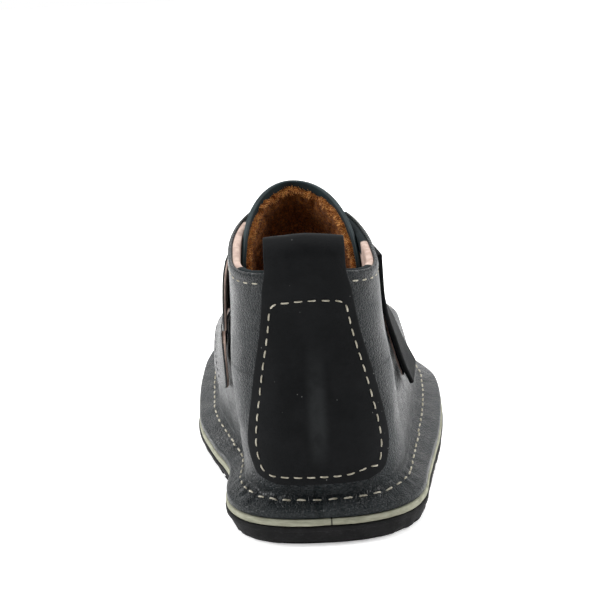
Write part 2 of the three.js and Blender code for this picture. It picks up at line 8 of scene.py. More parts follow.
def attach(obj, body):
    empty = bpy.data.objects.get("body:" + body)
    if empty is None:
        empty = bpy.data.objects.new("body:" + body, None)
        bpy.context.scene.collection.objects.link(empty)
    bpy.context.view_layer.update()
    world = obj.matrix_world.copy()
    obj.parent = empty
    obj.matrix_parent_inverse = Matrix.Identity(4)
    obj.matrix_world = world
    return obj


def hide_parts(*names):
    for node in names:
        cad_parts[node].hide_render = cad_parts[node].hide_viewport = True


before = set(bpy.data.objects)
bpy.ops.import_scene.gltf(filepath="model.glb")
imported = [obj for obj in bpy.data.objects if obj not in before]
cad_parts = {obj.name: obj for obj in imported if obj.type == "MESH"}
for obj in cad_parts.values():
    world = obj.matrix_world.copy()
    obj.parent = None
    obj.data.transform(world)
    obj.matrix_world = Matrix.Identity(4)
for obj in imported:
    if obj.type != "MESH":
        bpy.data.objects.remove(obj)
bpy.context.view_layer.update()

rng = np.random.default_rng(7)
MM = 0.001

# The boot's own sizes, in millimetres, as in the part
SOLE_LENGTH = 186.0
BALL_WIDTH = 87.6
HEEL_WIDTH = 67.6
TOE_SPRING = 5.0
OUTSOLE_THICKNESS = 6.8
MIDSOLE_THICKNESS = 2.1
INSOLE_THICKNESS = 2.6
CLEARANCE = 0.3
GROOVE_WIDTH = 2.4
GROOVE_DEPTH = 1.8
GROOVE_PITCH = 8.6
TREAD_MARGIN = 14.0
FLANGE_WIDTH = 7.6
FLANGE_THICKNESS = 2.3
FLANGE_SETBACK = 0.5
WALL = 2.6
QUARTER_STEP = 1.1
ANKLE_WIDTH = 47.0
TOE_HEIGHT = 33.0
INSTEP_HEIGHT = 58.0
COLLAR_HEIGHT = 91.0
COLLAR_FRONT_HEIGHT = 96.0
OUTER_DIP = 5.5
INNER_DIP = 4.0
SLANT = 5.0
QUARTER_FOOT = 58.0
THROAT_WIDTH = 24.0
THROAT_START = 106.0
TONGUE_HEIGHT = 104.5
TONGUE_LAP = 9.0
TONGUE_WRAP = 0.25
TONGUE_DROP = 1.0
PATCH_THICKNESS = 1.4
PATCH_FOOT = 20.0
LOOP_RISE = 10.5
LOOP_SLACK = 4.2
LOOP_TAIL = 15.0
PATCH_GAP = 0.4
STRAP_THICKNESS = 1.3
PANEL_THICKNESS = 1.6
PAD_THICKNESS = 0.6
STRAP_END_LIFT = 0.1
STRAP_BRIDGE = 1.0
STRAP_GAP = 0.7
PAD_GAP = 0.4
MIDSOLE_FOOT = OUTSOLE_THICKNESS + CLEARANCE
FLANGE_FOOT = MIDSOLE_FOOT + MIDSOLE_THICKNESS + CLEARANCE
FEATHER_HEIGHT = FLANGE_FOOT + FLANGE_THICKNESS
FEATHER_INSET = FLANGE_SETBACK + FLANGE_WIDTH
HEEL_ROUND = 0.44 * HEEL_WIDTH
HEEL_POWER = 2.6
TOE_ROUND = 0.2 * SOLE_LENGTH
TOE_POWER = 2.1

# Plan of the sole: place along it, sideways shift, flare from the heel's width to the ball's
PLAN = {
    "along": (0.0, 0.15, 0.25, 0.36, 0.49, 0.61, 0.69, 0.77, 0.86, 1.0),
    "centre": (-0.012, 0.006, 0.026, 0.014, 0.0, 0.0, -0.008, -0.038, -0.08, -0.125),
    "flare": (0.0, 0.0, 0.1, 0.54, 0.92, 1.0, 0.92, 0.56, 0.04, -0.2),
}
# Contour rings of the last, from the feather edge up
RINGS = {
    "rise": (0.0, 0.07, 0.17, 0.26, 0.345, 0.45, 0.56, 0.69, 0.84, 1.0, 1.14),
    "climb": (0.0, 0.25, 0.65, 1.0, 1.2, 1.46, 1.82, 2.18, 2.56, 3.0, 3.3),
    "back": (0.0436, 0.036, 0.034, 0.038, 0.044, 0.051, 0.057, 0.06, 0.058, 0.052, 0.048),
    "front": (0.9564, 0.961, 0.95, 0.915, 0.838, 0.72, 0.612, 0.516, 0.45, 0.398, 0.384),
    "foot": (1.0, 0.97, 0.9, 0.78, 0.56, 0.34, 0.14, 0.03, 0.0, 0.0, 0.0),
    "width": (1.2, 1.3, 1.26, 1.18, 1.15, 1.13, 1.1, 1.06, 1.03, 1.0, 0.98),
    "lean": (0.0, -0.006, -0.014, -0.022, -0.03, -0.038, -0.047, -0.055, -0.061, -0.068, -0.072),
    "blunt": (0.18, 0.18, 0.18, 0.2, 0.24, 0.26, 0.26, 0.23, 0.2, 0.18, 0.17),
    "slant": (0.0, 0.3, 0.6, 0.85, 0.85, 0.85, 0.85, 0.8, 0.7, 0.6, 0.6),
}
COLLAR_ROW = 9.0
TOP_ROW = 10.0
# Half width of the heel patch by height, shares of the collar height and the heel width
PATCH = {
    "height": (0.22, 0.24, 0.27, 0.34, 0.42, 0.51, 0.62, 0.76, 0.88, 1.0, 1.3),
    "half": (0.2, 0.265, 0.29, 0.307, 0.3, 0.282, 0.257, 0.222, 0.202, 0.19, 0.188),
}
STRAPS = (
    {"name": "upper_strap", "start": 0.32, "end": 0.27, "low": (0.6, 0.79, 0.6), "high": (0.85, 0.97, 0.88)},
    {"name": "lower_strap", "start": 0.37, "end": 0.3, "low": (0.35, 0.6, 0.35), "high": (0.53, 0.73, 0.56)},
)
PANEL_FOOT = {"back": 0.37, "front": 0.49, "height": 0.31}
PANEL_TOP = {"back": 0.26, "front": 0.345, "height": 0.9}
# Rough lengths of one turn, one ring and one ring near the collar, for folds, waves and stitch lines
TURN_SPAN = 330.0
RING_SPAN = 9.0
COLLAR_SPAN = 12.7
# Just short of half a turn, where both sides meet at the front
FRONT_TURN = 0.4999
EDGE_POWER = 2.6


def mix(a, b, t):
    return a + (b - a) * t


def smooth(v):
    t = np.clip(v, 0.0, 1.0)
    return t * t * (3 - 2 * t)


def curve(places, values, at):
    """A smooth curve through a table's column."""
    places = np.asarray(places, float)
    values = np.asarray(values, float)
    at = np.asarray(at, float)
    last = len(places) - 1
    i = np.clip(np.searchsorted(places[1:last], at, side="left"), 0, last - 1)
    index = np.arange(last + 1)
    lo = np.maximum(index - 1, 0)
    hi = np.minimum(index + 1, last)
    slope = (values[hi] - values[lo]) / (places[hi] - places[lo])
    step = places[i + 1] - places[i]
    t = np.clip((at - places[i]) / step, 0.0, 1.0)
    ease = t * t * (3 - 2 * t)
    leave = t * (1 - t) ** 2 * step * slope[i]
    arrive = t * t * (t - 1) * step * slope[i + 1]
    return mix(values[i], values[i + 1], ease) + leave + arrive


def ring(column, level):
    return curve(range(11), RINGS[column], level)


def round_end(distance, length, power):
    return (1 - (1 - np.clip(distance / length, 0.0, 1.0)) ** power) ** (1 / power)


def foot_half(y):
    return mix(HEEL_WIDTH, BALL_WIDTH, curve(PLAN["along"], PLAN["flare"], y / SOLE_LENGTH)) / 2


def foot_centre(y):
    return BALL_WIDTH * curve(PLAN["along"], PLAN["centre"], y / SOLE_LENGTH)


def spring_at(y):
    return TOE_SPRING * np.clip((y / SOLE_LENGTH - 0.62) / 0.38, 0.0, 1.0) ** 2


def sole_point(turn, inset, height):
    """A point of the sole's edge, drawn in by inset. turn runs 0 to 1 from the heel by the outer side."""
    turn, inset, height = np.broadcast_arrays(*(np.asarray(v, float) for v in (turn, inset, height)))
    angle = 2 * np.pi * turn
    y = mix(inset, SOLE_LENGTH - inset, (1 - np.cos(angle)) / 2)
    side = np.where(np.sin(angle) >= 0, 1.0, -1.0)
    rounding = round_end(y - inset, HEEL_ROUND, HEEL_POWER) * round_end(
        SOLE_LENGTH - inset - y, TOE_ROUND, TOE_POWER
    )
    x = foot_centre(y) + side * (foot_half(y) - inset) * rounding
    return np.stack([x, y, height + spring_at(y)], -1)


def slant_window(along):
    """Where the outer side draws in: from behind the ankle to the waist."""
    return smooth((along - 0.08) / 0.24) * (1 - smooth((along - 0.51) / 0.27))


def last_point(turn, level):
    """A point of the vamp's outer face, level counted in rings."""
    turn, level = np.broadcast_arrays(np.asarray(turn, float), np.asarray(level, float))
    angle = 2 * np.pi * turn
    share = (1 - np.cos(angle)) / 2
    side = np.where(np.sin(angle) >= 0, 1.0, -1.0)
    back = SOLE_LENGTH * ring("back", level)
    front = SOLE_LENGTH * ring("front", level)
    y = mix(back, front, share)
    foot = ring("foot", level)
    heel_round = np.minimum(HEEL_ROUND, 0.42 * (front - back))
    rounding = round_end(y - back, heel_round, HEEL_POWER) * round_end(
        front - y, SOLE_LENGTH * ring("blunt", level), mix(2.0, TOE_POWER, foot)
    )
    half = mix(ANKLE_WIDTH / 2 * ring("width", level), foot_half(y) - FEATHER_INSET, foot)
    slant = SLANT * ring("slant", level) * slant_window(y / SOLE_LENGTH)
    middle = foot * foot_centre(y) + ANKLE_WIDTH * ring("lean", level) - slant * (1 - rounding / 2)
    x = middle + side * (half - slant / 2) * rounding
    rear = mix(FEATHER_HEIGHT, COLLAR_HEIGHT, ring("rise", level))
    above = 2 * COLLAR_FRONT_HEIGHT - INSTEP_HEIGHT
    stops = (FEATHER_HEIGHT, TOE_HEIGHT, INSTEP_HEIGHT, COLLAR_FRONT_HEIGHT, above)
    dip = np.where(side > 0, OUTER_DIP, INNER_DIP) * np.sin(np.pi * share**0.65) * smooth((level - 5) / 4)
    z = mix(rear, np.interp(ring("climb", level), range(5), stops), share) - dip
    return np.stack([x, y, z + spring_at(y)], -1)


def unit(v):
    return v / np.maximum(np.linalg.norm(v, axis=-1, keepdims=True), 1e-9)


def last_normal(turn, level):
    turn, level = np.broadcast_arrays(np.asarray(turn, float), np.asarray(level, float))
    a = last_point(turn + 0.004, level) - last_point(turn - 0.004, level)
    b = last_point(turn, np.minimum(TOP_ROW, level + 0.15)) - last_point(turn, np.maximum(0, level - 0.15))
    return unit(np.cross(a, b))


def offset_point(turn, level, distance):
    return last_point(turn, level) + last_normal(turn, level) * np.asarray(distance, float)[..., None]


def solve(low, high, test):
    """Bisection: the place between low and high where test turns from true to false."""
    for _ in range(26):
        middle = (low + high) / 2
        below = test(middle)
        low = np.where(below, middle, low)
        high = np.where(below, high, middle)
    return (low + high) / 2


def level_at(turn, height):
    turn, height = np.broadcast_arrays(np.asarray(turn, float), np.asarray(height, float))
    return solve(0 * turn, 0 * turn + TOP_ROW, lambda m: last_point(turn, m)[..., 2] < height)


def turn_for(side, level, y):
    back = SOLE_LENGTH * ring("back", level)
    front = SOLE_LENGTH * ring("front", level)
    turn = np.arccos(1 - 2 * np.clip((y - back) / (front - back), 0.0, 1.0)) / (2 * np.pi)
    return turn if side > 0 else 1 - turn


def place_at(side, y, height):
    """The turn and level of a place seen from the side."""
    y, height = np.broadcast_arrays(np.asarray(y, float), np.asarray(height, float))
    level = solve(0 * y, 0 * y + TOP_ROW, lambda m: last_point(turn_for(side, m, y), m)[..., 2] < height)
    return turn_for(side, level, y), level


def turn_at_side(level, sideways):
    """The turn near the heel at which a level lies at a sideways distance from its middle."""
    level, sideways = np.broadcast_arrays(np.asarray(level, float), np.asarray(sideways, float))
    middle = last_point(0.0, level)[..., 0]
    sign = np.sign(sideways)
    found = solve(
        0 * level, 0 * level + 0.24,
        lambda m: np.abs(last_point(sign * m, level)[..., 0] - middle) < np.abs(sideways),
    )
    return sign * found


outline = sole_point(np.arange(64) / 64, 0.0, 0.0)
SHIFT = np.array([-(outline[:, 0].min() + outline[:, 0].max()) / 2, -SOLE_LENGTH / 2, 0.0])


# Meshes


def noise(x, y, size, seed):
    """Smooth value noise from -1 to 1 over two coordinates, in lumps of one size."""
    table = np.random.default_rng(seed).uniform(-1, 1, (64, 64))
    u, v = x / size, y / size
    i, j = np.floor(u).astype(int), np.floor(v).astype(int)
    s, t = smooth(u - i), smooth(v - j)
    at = lambda a, b: table[a % 64, b % 64]
    return mix(mix(at(i, j), at(i + 1, j), s), mix(at(i, j + 1), at(i + 1, j + 1), s), t)


def ripple(turn, level, size, seed):
    """The noise over the boot's skin."""
    return noise(turn * TURN_SPAN, level * RING_SPAN, size, seed)


def raw_mesh(name, points, faces):
    mesh = bpy.data.meshes.new(name)
    mesh.from_pydata([tuple(p) for p in (np.asarray(points) + SHIFT) * MM], [], faces)
    return mesh


def add(name, data):
    made = bpy.data.objects.new(name, data)
    bpy.context.collection.objects.link(made)
    return made


def build(name, points, faces, look, slot, replaced=()):
    mesh = raw_mesh(name, points, faces)
    mesh.validate()
    mesh.update()
    mesh.polygons.foreach_set("use_smooth", [True] * len(mesh.polygons))
    piece = add(name, mesh)
    mesh.materials.append(look.material)
    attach(piece, "root")
    if replaced:
        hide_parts(*replaced)
    return piece


def grid_faces(rows, columns, start=0, around=False, flip=False):
    faces = []
    wide = columns if around else columns - 1
    for i in range(rows - 1):
        for j in range(wide):
            k = (j + 1) % columns
            quad = (
                start + i * columns + j, start + i * columns + k,
                start + (i + 1) * columns + k, start + (i + 1) * columns + j,
            )
            faces.append(quad[::-1] if flip else quad)
    return faces


def sheet(outer, inner):
    """Points and faces of a closed sheet between two equal grids, outer one first."""
    rows, columns = outer.shape[:2]
    points = np.concatenate([outer.reshape(-1, 3), inner.reshape(-1, 3)])
    shift = rows * columns
    faces = grid_faces(rows, columns) + grid_faces(rows, columns, shift, flip=True)
    rim = list(range(columns - 1))
    rim += [i * columns + columns - 1 for i in range(rows - 1)]
    rim += [(rows - 1) * columns + j for j in range(columns - 1, 0, -1)]
    rim += [i * columns for i in range(rows - 1, 0, -1)]
    for k, a in enumerate(rim):
        b = rim[(k + 1) % len(rim)]
        faces.append((b, a, shift + a, shift + b))
    return points, faces


def lines(count, edge_share):
    """Places from 0 to 1, close together at both ends so that an edge can round off."""
    near = np.array([0.0, 0.06, 0.2, 0.45, 0.75]) * edge_share
    return np.concatenate([near, np.linspace(edge_share, 1 - edge_share, count), 1 - near[::-1]])


def tight_ends(near, reach, count):
    """Places from -1 to 1: near ones at both ends, even ones within reach."""
    near = np.array(near)
    return np.concatenate([near - 1, np.linspace(-reach, reach, count), 1 - near[::-1]])


def edge_profile(middle, edge, sides=(True, True, True, True)):
    """1 inside a grid and 0 at its border, rounding off within edge. sides: foot, top, left, right."""
    along = np.linalg.norm(np.diff(middle, axis=0), axis=-1)
    across = np.linalg.norm(np.diff(middle, axis=1), axis=-1)
    up = np.concatenate([np.zeros((1, middle.shape[1])), np.cumsum(along, 0)])
    over = np.concatenate([np.zeros((middle.shape[0], 1)), np.cumsum(across, 1)], 1)
    spans = (up, up[-1:] - up, over, over[:, -1:] - over)
    distance = np.full(middle.shape[:2], 1e3)
    for used, span in zip(sides, spans):
        if used:
            distance = np.minimum(distance, span)
    return round_end(distance, edge, EDGE_POWER), distance


def stitches(name, rows, pitch, length, radius, look, slot, lift, sink=0.35):
    """Rows of stitches as one mesh. Each row is (points, normals) along its line."""
    steps, sides = 7, 8
    jitter = 0.12
    points, faces = [], []
    for path, normals in rows:
        path, normals = np.asarray(path, float), np.asarray(normals, float)
        gone = np.concatenate([[0.0], np.cumsum(np.linalg.norm(np.diff(path, axis=0), axis=1))])
        count = max(1, int(gone[-1] / pitch))
        real = gone[-1] / count

        def read(table, at):
            return np.stack([np.interp(at, gone, table[:, k]) for k in range(3)], -1)

        for k in range(count):
            start = k * real + 0.5 * (real - length) + rng.uniform(-jitter, jitter)
            at = np.linspace(start, start + length, steps)
            place, up = read(path, at), unit(read(normals, at))
            t = np.linspace(-1, 1, steps)
            height = mix(lift, -sink, np.abs(t) ** 3.2)
            centre = place + up * height[:, None]
            forward = unit(np.gradient(centre, axis=0))
            side = unit(np.cross(up, forward))
            over = np.cross(forward, side)
            thick = radius * (1 - 0.45 * np.abs(t) ** 4) * rng.uniform(0.92, 1.06)
            skew = rng.uniform(-0.08, 0.08)
            base = len(points)
            for s in range(steps):
                for c in range(sides):
                    a = 2 * np.pi * c / sides
                    wide = side[s] * (thick[s] * 1.25 * np.cos(a) + skew * t[s])
                    points.append(centre[s] + wide + over[s] * thick[s] * np.sin(a))
            faces += grid_faces(steps, sides, base, around=True, flip=True)
            faces.append(tuple(base + c for c in range(sides)))
            faces.append(tuple(base + (steps - 1) * sides + c for c in reversed(range(sides))))
    build(name, np.array(points), faces, look, slot)


# Materials


class Look:
    """A principled material with a few helpers for its nodes."""

    def __init__(self, name, roughness=0.6, **sockets):
        self.material = bpy.data.materials.new(name)
        self.material.use_nodes = True
        self.tree = self.material.node_tree
        self.shader = self.tree.nodes["Principled BSDF"]
        self.shader.inputs["Roughness"].default_value = roughness
        for key, value in sockets.items():
            self.shader.inputs[key.replace("_", " ")].default_value = value
        self.place = self.node("ShaderNodeTexCoord").outputs["Object"]
        self.height = None
        self.tone = None

    def node(self, kind, **values):
        made = self.tree.nodes.new(kind)
        for key, value in values.items():
            setattr(made, key, value)
        return made

    def link(self, a, b):
        self.tree.links.new(a, b)

    def noise(self, size, detail=3.0, roughness=0.55, stretch=None):
        made = self.node("ShaderNodeTexNoise")
        made.inputs["Scale"].default_value = 1 / (size * MM)
        made.inputs["Detail"].default_value = detail
        made.inputs["Roughness"].default_value = roughness
        self.link(self.stretched(stretch), made.inputs["Vector"])
        return made.outputs["Fac"]

    def stretched(self, stretch, warp=0.0, warp_size=3.0):
        vector = self.place
        if stretch:
            mapping = self.node("ShaderNodeMapping")
            mapping.inputs["Scale"].default_value = stretch
            self.link(vector, mapping.inputs["Vector"])
            vector = mapping.outputs["Vector"]
        if warp:
            field = self.node("ShaderNodeTexNoise")
            field.inputs["Scale"].default_value = 1 / (warp_size * MM)
            self.link(vector, field.inputs["Vector"])
            shifted = self.node("ShaderNodeVectorMath", operation="MULTIPLY_ADD")
            self.link(field.outputs["Color"], shifted.inputs[0])
            shifted.inputs[1].default_value = (warp * MM,) * 3
            self.link(vector, shifted.inputs[2])
            vector = shifted.outputs["Vector"]
        return vector

    def cells(self, size, feature="DISTANCE_TO_EDGE", warp=0.5, stretch=None):
        made = self.node("ShaderNodeTexVoronoi", feature=feature)
        made.inputs["Scale"].default_value = 1 / (size * MM)
        self.link(self.stretched(stretch, warp), made.inputs["Vector"])
        return made.outputs["Distance"]

    def ramp(self, value, lo, hi, out_lo=0.0, out_hi=1.0):
        made = self.node("ShaderNodeMapRange", interpolation_type="SMOOTHSTEP")
        self.link(value, made.inputs["Value"])
        for key, number in zip(("From Min", "From Max", "To Min", "To Max"), (lo, hi, out_lo, out_hi)):
            made.inputs[key].default_value = number
        return made.outputs["Result"]

    def math(self, operation, a, b):
        made = self.node("ShaderNodeMath", operation=operation)
        for socket, value in zip(made.inputs, (a, b)):
            if isinstance(value, (int, float)):
                socket.default_value = value
            else:
                self.link(value, socket)
        return made.outputs["Value"]

    def blend(self, factor, a, b):
        made = self.node("ShaderNodeMix", data_type="RGBA")
        self.link(factor, made.inputs["Factor"])
        for socket, value in ((made.inputs[6], a), (made.inputs[7], b)):
            if isinstance(value, tuple):
                socket.default_value = (*value, 1.0)
            else:
                self.link(value, socket)
        return made.outputs[2]

    def axis(self, name):
        made = self.node("ShaderNodeSeparateXYZ")
        self.link(self.place, made.inputs["Vector"])
        return made.outputs[name]

    def clouds(self, size, dark, light, detail=3.0, low=0.3, high=0.7):
        """Two colours in soft clouds."""
        return self.blend(self.ramp(self.noise(size, detail), low, high), dark, light)

    def line(self, sideways, near, far):
        """1 nearer than near to a place across the boot, 0 further than far from it, in millimetres."""
        away = self.math("ADD", self.axis("X"), -(sideways + SHIFT[0]) * MM)
        return self.ramp(self.math("ABSOLUTE", away, 0), near * MM, far * MM, 1.0, 0.0)

    def rising(self, name, start, end):
        return self.ramp(self.axis(name), start * MM, end * MM)

    def falling(self, name, start, end):
        return self.ramp(self.axis(name), start * MM, end * MM, 1.0, 0.0)

    def product(self, first, *others):
        for other in others:
            first = self.math("MULTIPLY", first, other)
        return first

    def color(self, value):
        self.tone = value
        if isinstance(value, tuple):
            self.shader.inputs["Base Color"].default_value = (*value, 1.0)
        else:
            self.link(value, self.shader.inputs["Base Color"])
        return self

    def rough(self, value):
        self.link(value, self.shader.inputs["Roughness"])
        return self

    def bump(self, value, depth, strength=1.0):
        made = self.node("ShaderNodeBump")
        made.inputs["Strength"].default_value = strength
        made.inputs["Distance"].default_value = depth * MM
        self.link(value, made.inputs["Height"])
        if self.height:
            self.link(self.height, made.inputs["Normal"])
        self.height = made.outputs["Normal"]
        self.link(self.height, self.shader.inputs["Normal"])
        return self


def grained(name, dark, light, grain=1.1):
    roughness = 0.36
    look = Look(name, roughness, Specular_IOR_Level=0.22)
    pebble = look.ramp(look.cells(grain), 0.0, 0.22)
    fine = look.noise(0.35, 2.0)
    cloud = look.noise(14.0, 4.0)
    tone = look.blend(look.ramp(cloud, 0.35, 0.7), dark, light)
    crack = tuple(0.45 * c for c in dark)
    look.color(look.blend(look.ramp(pebble, 0.0, 0.6, 0.55, 0.0), tone, crack))
    broad = look.ramp(cloud, 0.3, 0.7, roughness - 0.07, roughness + 0.07)
    look.rough(look.math("ADD", broad, look.ramp(fine, 0.3, 0.7, -0.03, 0.03)))
    look.bump(pebble, 0.2).bump(fine, 0.05)
    return look


leather = grained("grained_leather", (0.0055, 0.008, 0.0093), (0.0115, 0.0158, 0.0178))
back_seam = leather.product(
    leather.line(-2.4, 0.7, 2.0), leather.falling("Y", -82.5, -80.5), leather.falling("Z", 20.0, 22.0)
)
leather.color(leather.blend(back_seam, leather.tone, (0.001, 0.004, 0.005)))
leather.bump(leather.math("SUBTRACT", 1.0, back_seam), 0.7)
vamp_leather = grained("vamp_leather", (0.0055, 0.008, 0.0093), (0.0115, 0.0158, 0.0178), 1.3)
strap_leather = grained("strap_leather", (0.006, 0.008, 0.009), (0.012, 0.015, 0.016), 0.9)

smooth_leather = Look("tongue_leather", 0.5, Specular_IOR_Level=0.25)
smooth_leather.color(smooth_leather.clouds(6.0, (0.005, 0.013, 0.016), (0.011, 0.024, 0.028)))
smooth_leather.bump(smooth_leather.cells(0.8), 0.06).bump(smooth_leather.noise(0.3), 0.04)

nubuck = Look("matte_leather", 0.8, Specular_IOR_Level=0.08, Sheen_Weight=0.012, Sheen_Roughness=0.4)
cloud = nubuck.noise(9.0, 4.0)
tone = nubuck.blend(nubuck.ramp(cloud, 0.35, 0.7), (0.0045, 0.005, 0.0055), (0.0085, 0.009, 0.0097))
speck = nubuck.ramp(nubuck.cells(3.1, "F1", 0.9), 0.045, 0.09, 1.0, 0.0)
spread = nubuck.ramp(nubuck.noise(5.0, 2.0), 0.5, 0.62)
tone = nubuck.blend(nubuck.product(speck, spread), tone, (0.16, 0.16, 0.155))
# A lighter soft vertical band down the middle of the heel patch: a painted highlight on its rearmost ridge
painted_sheen = nubuck.product(
    nubuck.line(-1.6, 1.0, 4.2), nubuck.rising("Z", 24.0, 36.0), nubuck.falling("Z", 45.0, 72.0),
    nubuck.falling("Y", -70.0, -60.0), nubuck.ramp(nubuck.noise(6.0, 3.0), 0.25, 0.6, 0.4, 1.0),
)
nubuck.color(nubuck.blend(painted_sheen, tone, (0.02, 0.0215, 0.0225)))
nubuck.rough(nubuck.ramp(cloud, 0.3, 0.75, 0.7, 0.85))
nubuck.bump(nubuck.noise(0.5, 3.0), 0.09).bump(nubuck.noise(2.4), 0.1)


def suede(name):
    """The pale flesh side of the leather."""
    look = Look(name, 0.9, Specular_IOR_Level=0.2)
    look.color(look.clouds(2.5, (0.36, 0.26, 0.22), (0.52, 0.4, 0.34), 4.0))
    look.bump(look.noise(0.4, 4.0), 0.14)
    return look


flesh = suede("leather_flesh_side")
lining_look = suede("lining")
binding = lining_look.node("ShaderNodeAttribute", attribute_name="binding").outputs["Fac"]
binding = lining_look.ramp(binding, 0.35, 0.65)
lining_look.color(lining_look.blend(binding, lining_look.tone, (0.0065, 0.0105, 0.012)))

fleece_look = Look("fleece", 0.95, Specular_IOR_Level=0.1, Sheen_Weight=0.08, Sheen_Roughness=0.5)
# Darker patches through the pile: painted shade in the fleece's hollows
pile_shade = fleece_look.ramp(fleece_look.noise(0.7, 4.0, 0.7), 0.35, 0.68)
tone = fleece_look.clouds(2.2, (0.26, 0.082, 0.013), (0.42, 0.16, 0.034), 4.0)
fleece_look.color(fleece_look.blend(pile_shade, (0.1, 0.03, 0.006), tone))
fleece_look.bump(fleece_look.noise(0.6, 5.0, 0.7), 0.45)

# A brighter copy of the fleece for the rim's tufts: a painted highlight where light catches the rim
rim_fleece_highlight = Look("fleece_rim", 0.95, Specular_IOR_Level=0.1, Sheen_Weight=0.1, Sheen_Roughness=0.5)
rim_fleece_highlight.color(rim_fleece_highlight.clouds(1.6, (0.55, 0.2, 0.045), (0.9, 0.46, 0.14), 4.0))

footbed_look = Look("footbed", 0.93, Sheen_Weight=0.2)
footbed_look.color(footbed_look.clouds(3.0, (0.2, 0.085, 0.03), (0.33, 0.16, 0.065), 5.0))
footbed_look.bump(footbed_look.noise(0.7, 5.0, 0.7), 0.35)

rubber = Look("outsole_rubber", 0.7, Specular_IOR_Level=0.15)
scuff = rubber.ramp(rubber.noise(1.6, 3.0, 0.6, (1, 1, 3)), 0.56, 0.72)
tone = rubber.clouds(7.0, (0.0035, 0.0036, 0.0038), (0.008, 0.0078, 0.0084), 4.0)
rubber.color(rubber.blend(rubber.math("MULTIPLY", scuff, 0.6), tone, (0.022, 0.022, 0.023)))
rubber.bump(rubber.noise(0.5, 3.0), 0.12).bump(rubber.noise(2.5), 0.12)

foam = Look("midsole_foam", 0.8, Specular_IOR_Level=0.2)
cloud = foam.noise(4.0, 4.0, 0.55, (1, 1, 4))
dirt = foam.ramp(foam.noise(9.0, 5.0, 0.6), 0.5, 0.75)
tone = foam.blend(foam.ramp(cloud, 0.3, 0.7), (0.22, 0.22, 0.165), (0.32, 0.32, 0.245))
tone = foam.blend(foam.math("MULTIPLY", dirt, 0.5), tone, (0.15, 0.15, 0.105))
joint = foam.product(foam.line(1.2, 0.1, 0.4), foam.falling("Y", -82.5, -80.5))
foam.color(foam.blend(joint, tone, (0.03, 0.028, 0.02)))
foam.bump(foam.noise(0.35, 2.0), 0.08).bump(foam.noise(3.0, 2.0, 0.5, (1, 1, 5)), 0.12)

thread = Look("thread", 0.8, Specular_IOR_Level=0.2)
thread.color(thread.clouds(2.0, (0.27, 0.25, 0.19), (0.5, 0.47, 0.39)))
thread.bump(thread.noise(0.2, 2.0, 0.5, (1, 1, 2.5)), 0.06)

black_thread = Look("black_thread", 0.7)
black_thread.color(black_thread.clouds(1.0, (0.005, 0.006, 0.007), (0.014, 0.015, 0.016)))

fuzz = Look("hook_and_loop", 0.95, Specular_IOR_Level=0.1)
fuzz.color(fuzz.clouds(0.5, (0.006, 0.006, 0.007), (0.035, 0.035, 0.038), 3.0, 0.35, 0.65))
fuzz.bump(fuzz.noise(0.4, 4.0, 0.7), 0.3)
for node in ("upper_pad", "lower_pad"):
    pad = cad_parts[node]
    pad.data.materials.clear()
    pad.data.materials.append(fuzz.material)


# The quarters' front edge: along the seam from the flange up to the throat, then up the throat's side

edge_t = np.linspace(0, 1, 60)
seam = [
    (QUARTER_FOOT, 0.9 * FLANGE_FOOT),
    (1.1 * QUARTER_FOOT, 0.6 * TOE_HEIGHT + FEATHER_HEIGHT),
    (0.85 * THROAT_START, 0.69 * INSTEP_HEIGHT),
    (1.04 * THROAT_START, 0.9 * INSTEP_HEIGHT),
]
weights = [(1 - edge_t) ** 3, 3 * edge_t * (1 - edge_t) ** 2, 3 * edge_t**2 * (1 - edge_t), edge_t**3]
seam_y = sum(w * p[0] for w, p in zip(weights, seam))
seam_z = sum(w * p[1] for w, p in zip(weights, seam))
seams = {}
for side in (1, -1):
    seam_turn, seam_level = place_at(side, seam_y, seam_z)
    seam_turn[seam_level < 0.02] = place_at(side, QUARTER_FOOT, FEATHER_HEIGHT + 1)[0]
    order = np.argsort(seam_level)
    seams[side] = (seam_level[order], (seam_turn if side > 0 else 1 - seam_turn)[order])

throat_foot = np.array([THROAT_START, 0.93 * INSTEP_HEIGHT])
throat_top = np.array([RINGS["front"][9] * SOLE_LENGTH, COLLAR_FRONT_HEIGHT])
throat_way = (throat_top - throat_foot) / np.linalg.norm(throat_top - throat_foot)


def throat_half(along):
    """Half width of the throat by distance up the instep from its foot."""
    half = THROAT_WIDTH / 2
    narrow = 0.7 * half
    reach = 2 * (COLLAR_FRONT_HEIGHT - INSTEP_HEIGHT)
    bowl = np.sqrt(np.clip(narrow**2 - (narrow - along) ** 2, 0, None))
    side = np.interp(along, (narrow, 0.6 * reach, reach), (narrow, 1.12 * half, 1.25 * half))
    return np.where(along < 0, 0.0, np.where(along < narrow, bowl, side))


def throat_turn(level, side):
    """How far one side of the quarters reaches round at a level, where the throat cuts it."""
    middle = ANKLE_WIDTH * RINGS["lean"][9]

    def outside(m):
        p = last_point(m if side > 0 else 1 - m, level)
        along = (p[..., 1] - throat_foot[0]) * throat_way[0] + (p[..., 2] - throat_foot[1]) * throat_way[1]
        return np.abs(p[..., 0] - middle) > throat_half(along)

    level = np.asarray(level, float)
    return solve(0 * level + 0.3, 0 * level + FRONT_TURN, outside)


def quarter_reach(level, side):
    return np.minimum(np.interp(level, *seams[side], right=FRONT_TURN), throat_turn(level, side))


def wrapped(u, outer_reach, inner_reach):
    """Turns of a wrap round the heel: u runs from -1 on the inner side to 1 on the outer side."""
    return u[None, :] * np.where(u[None, :] > 0, outer_reach[:, None], inner_reach[:, None])


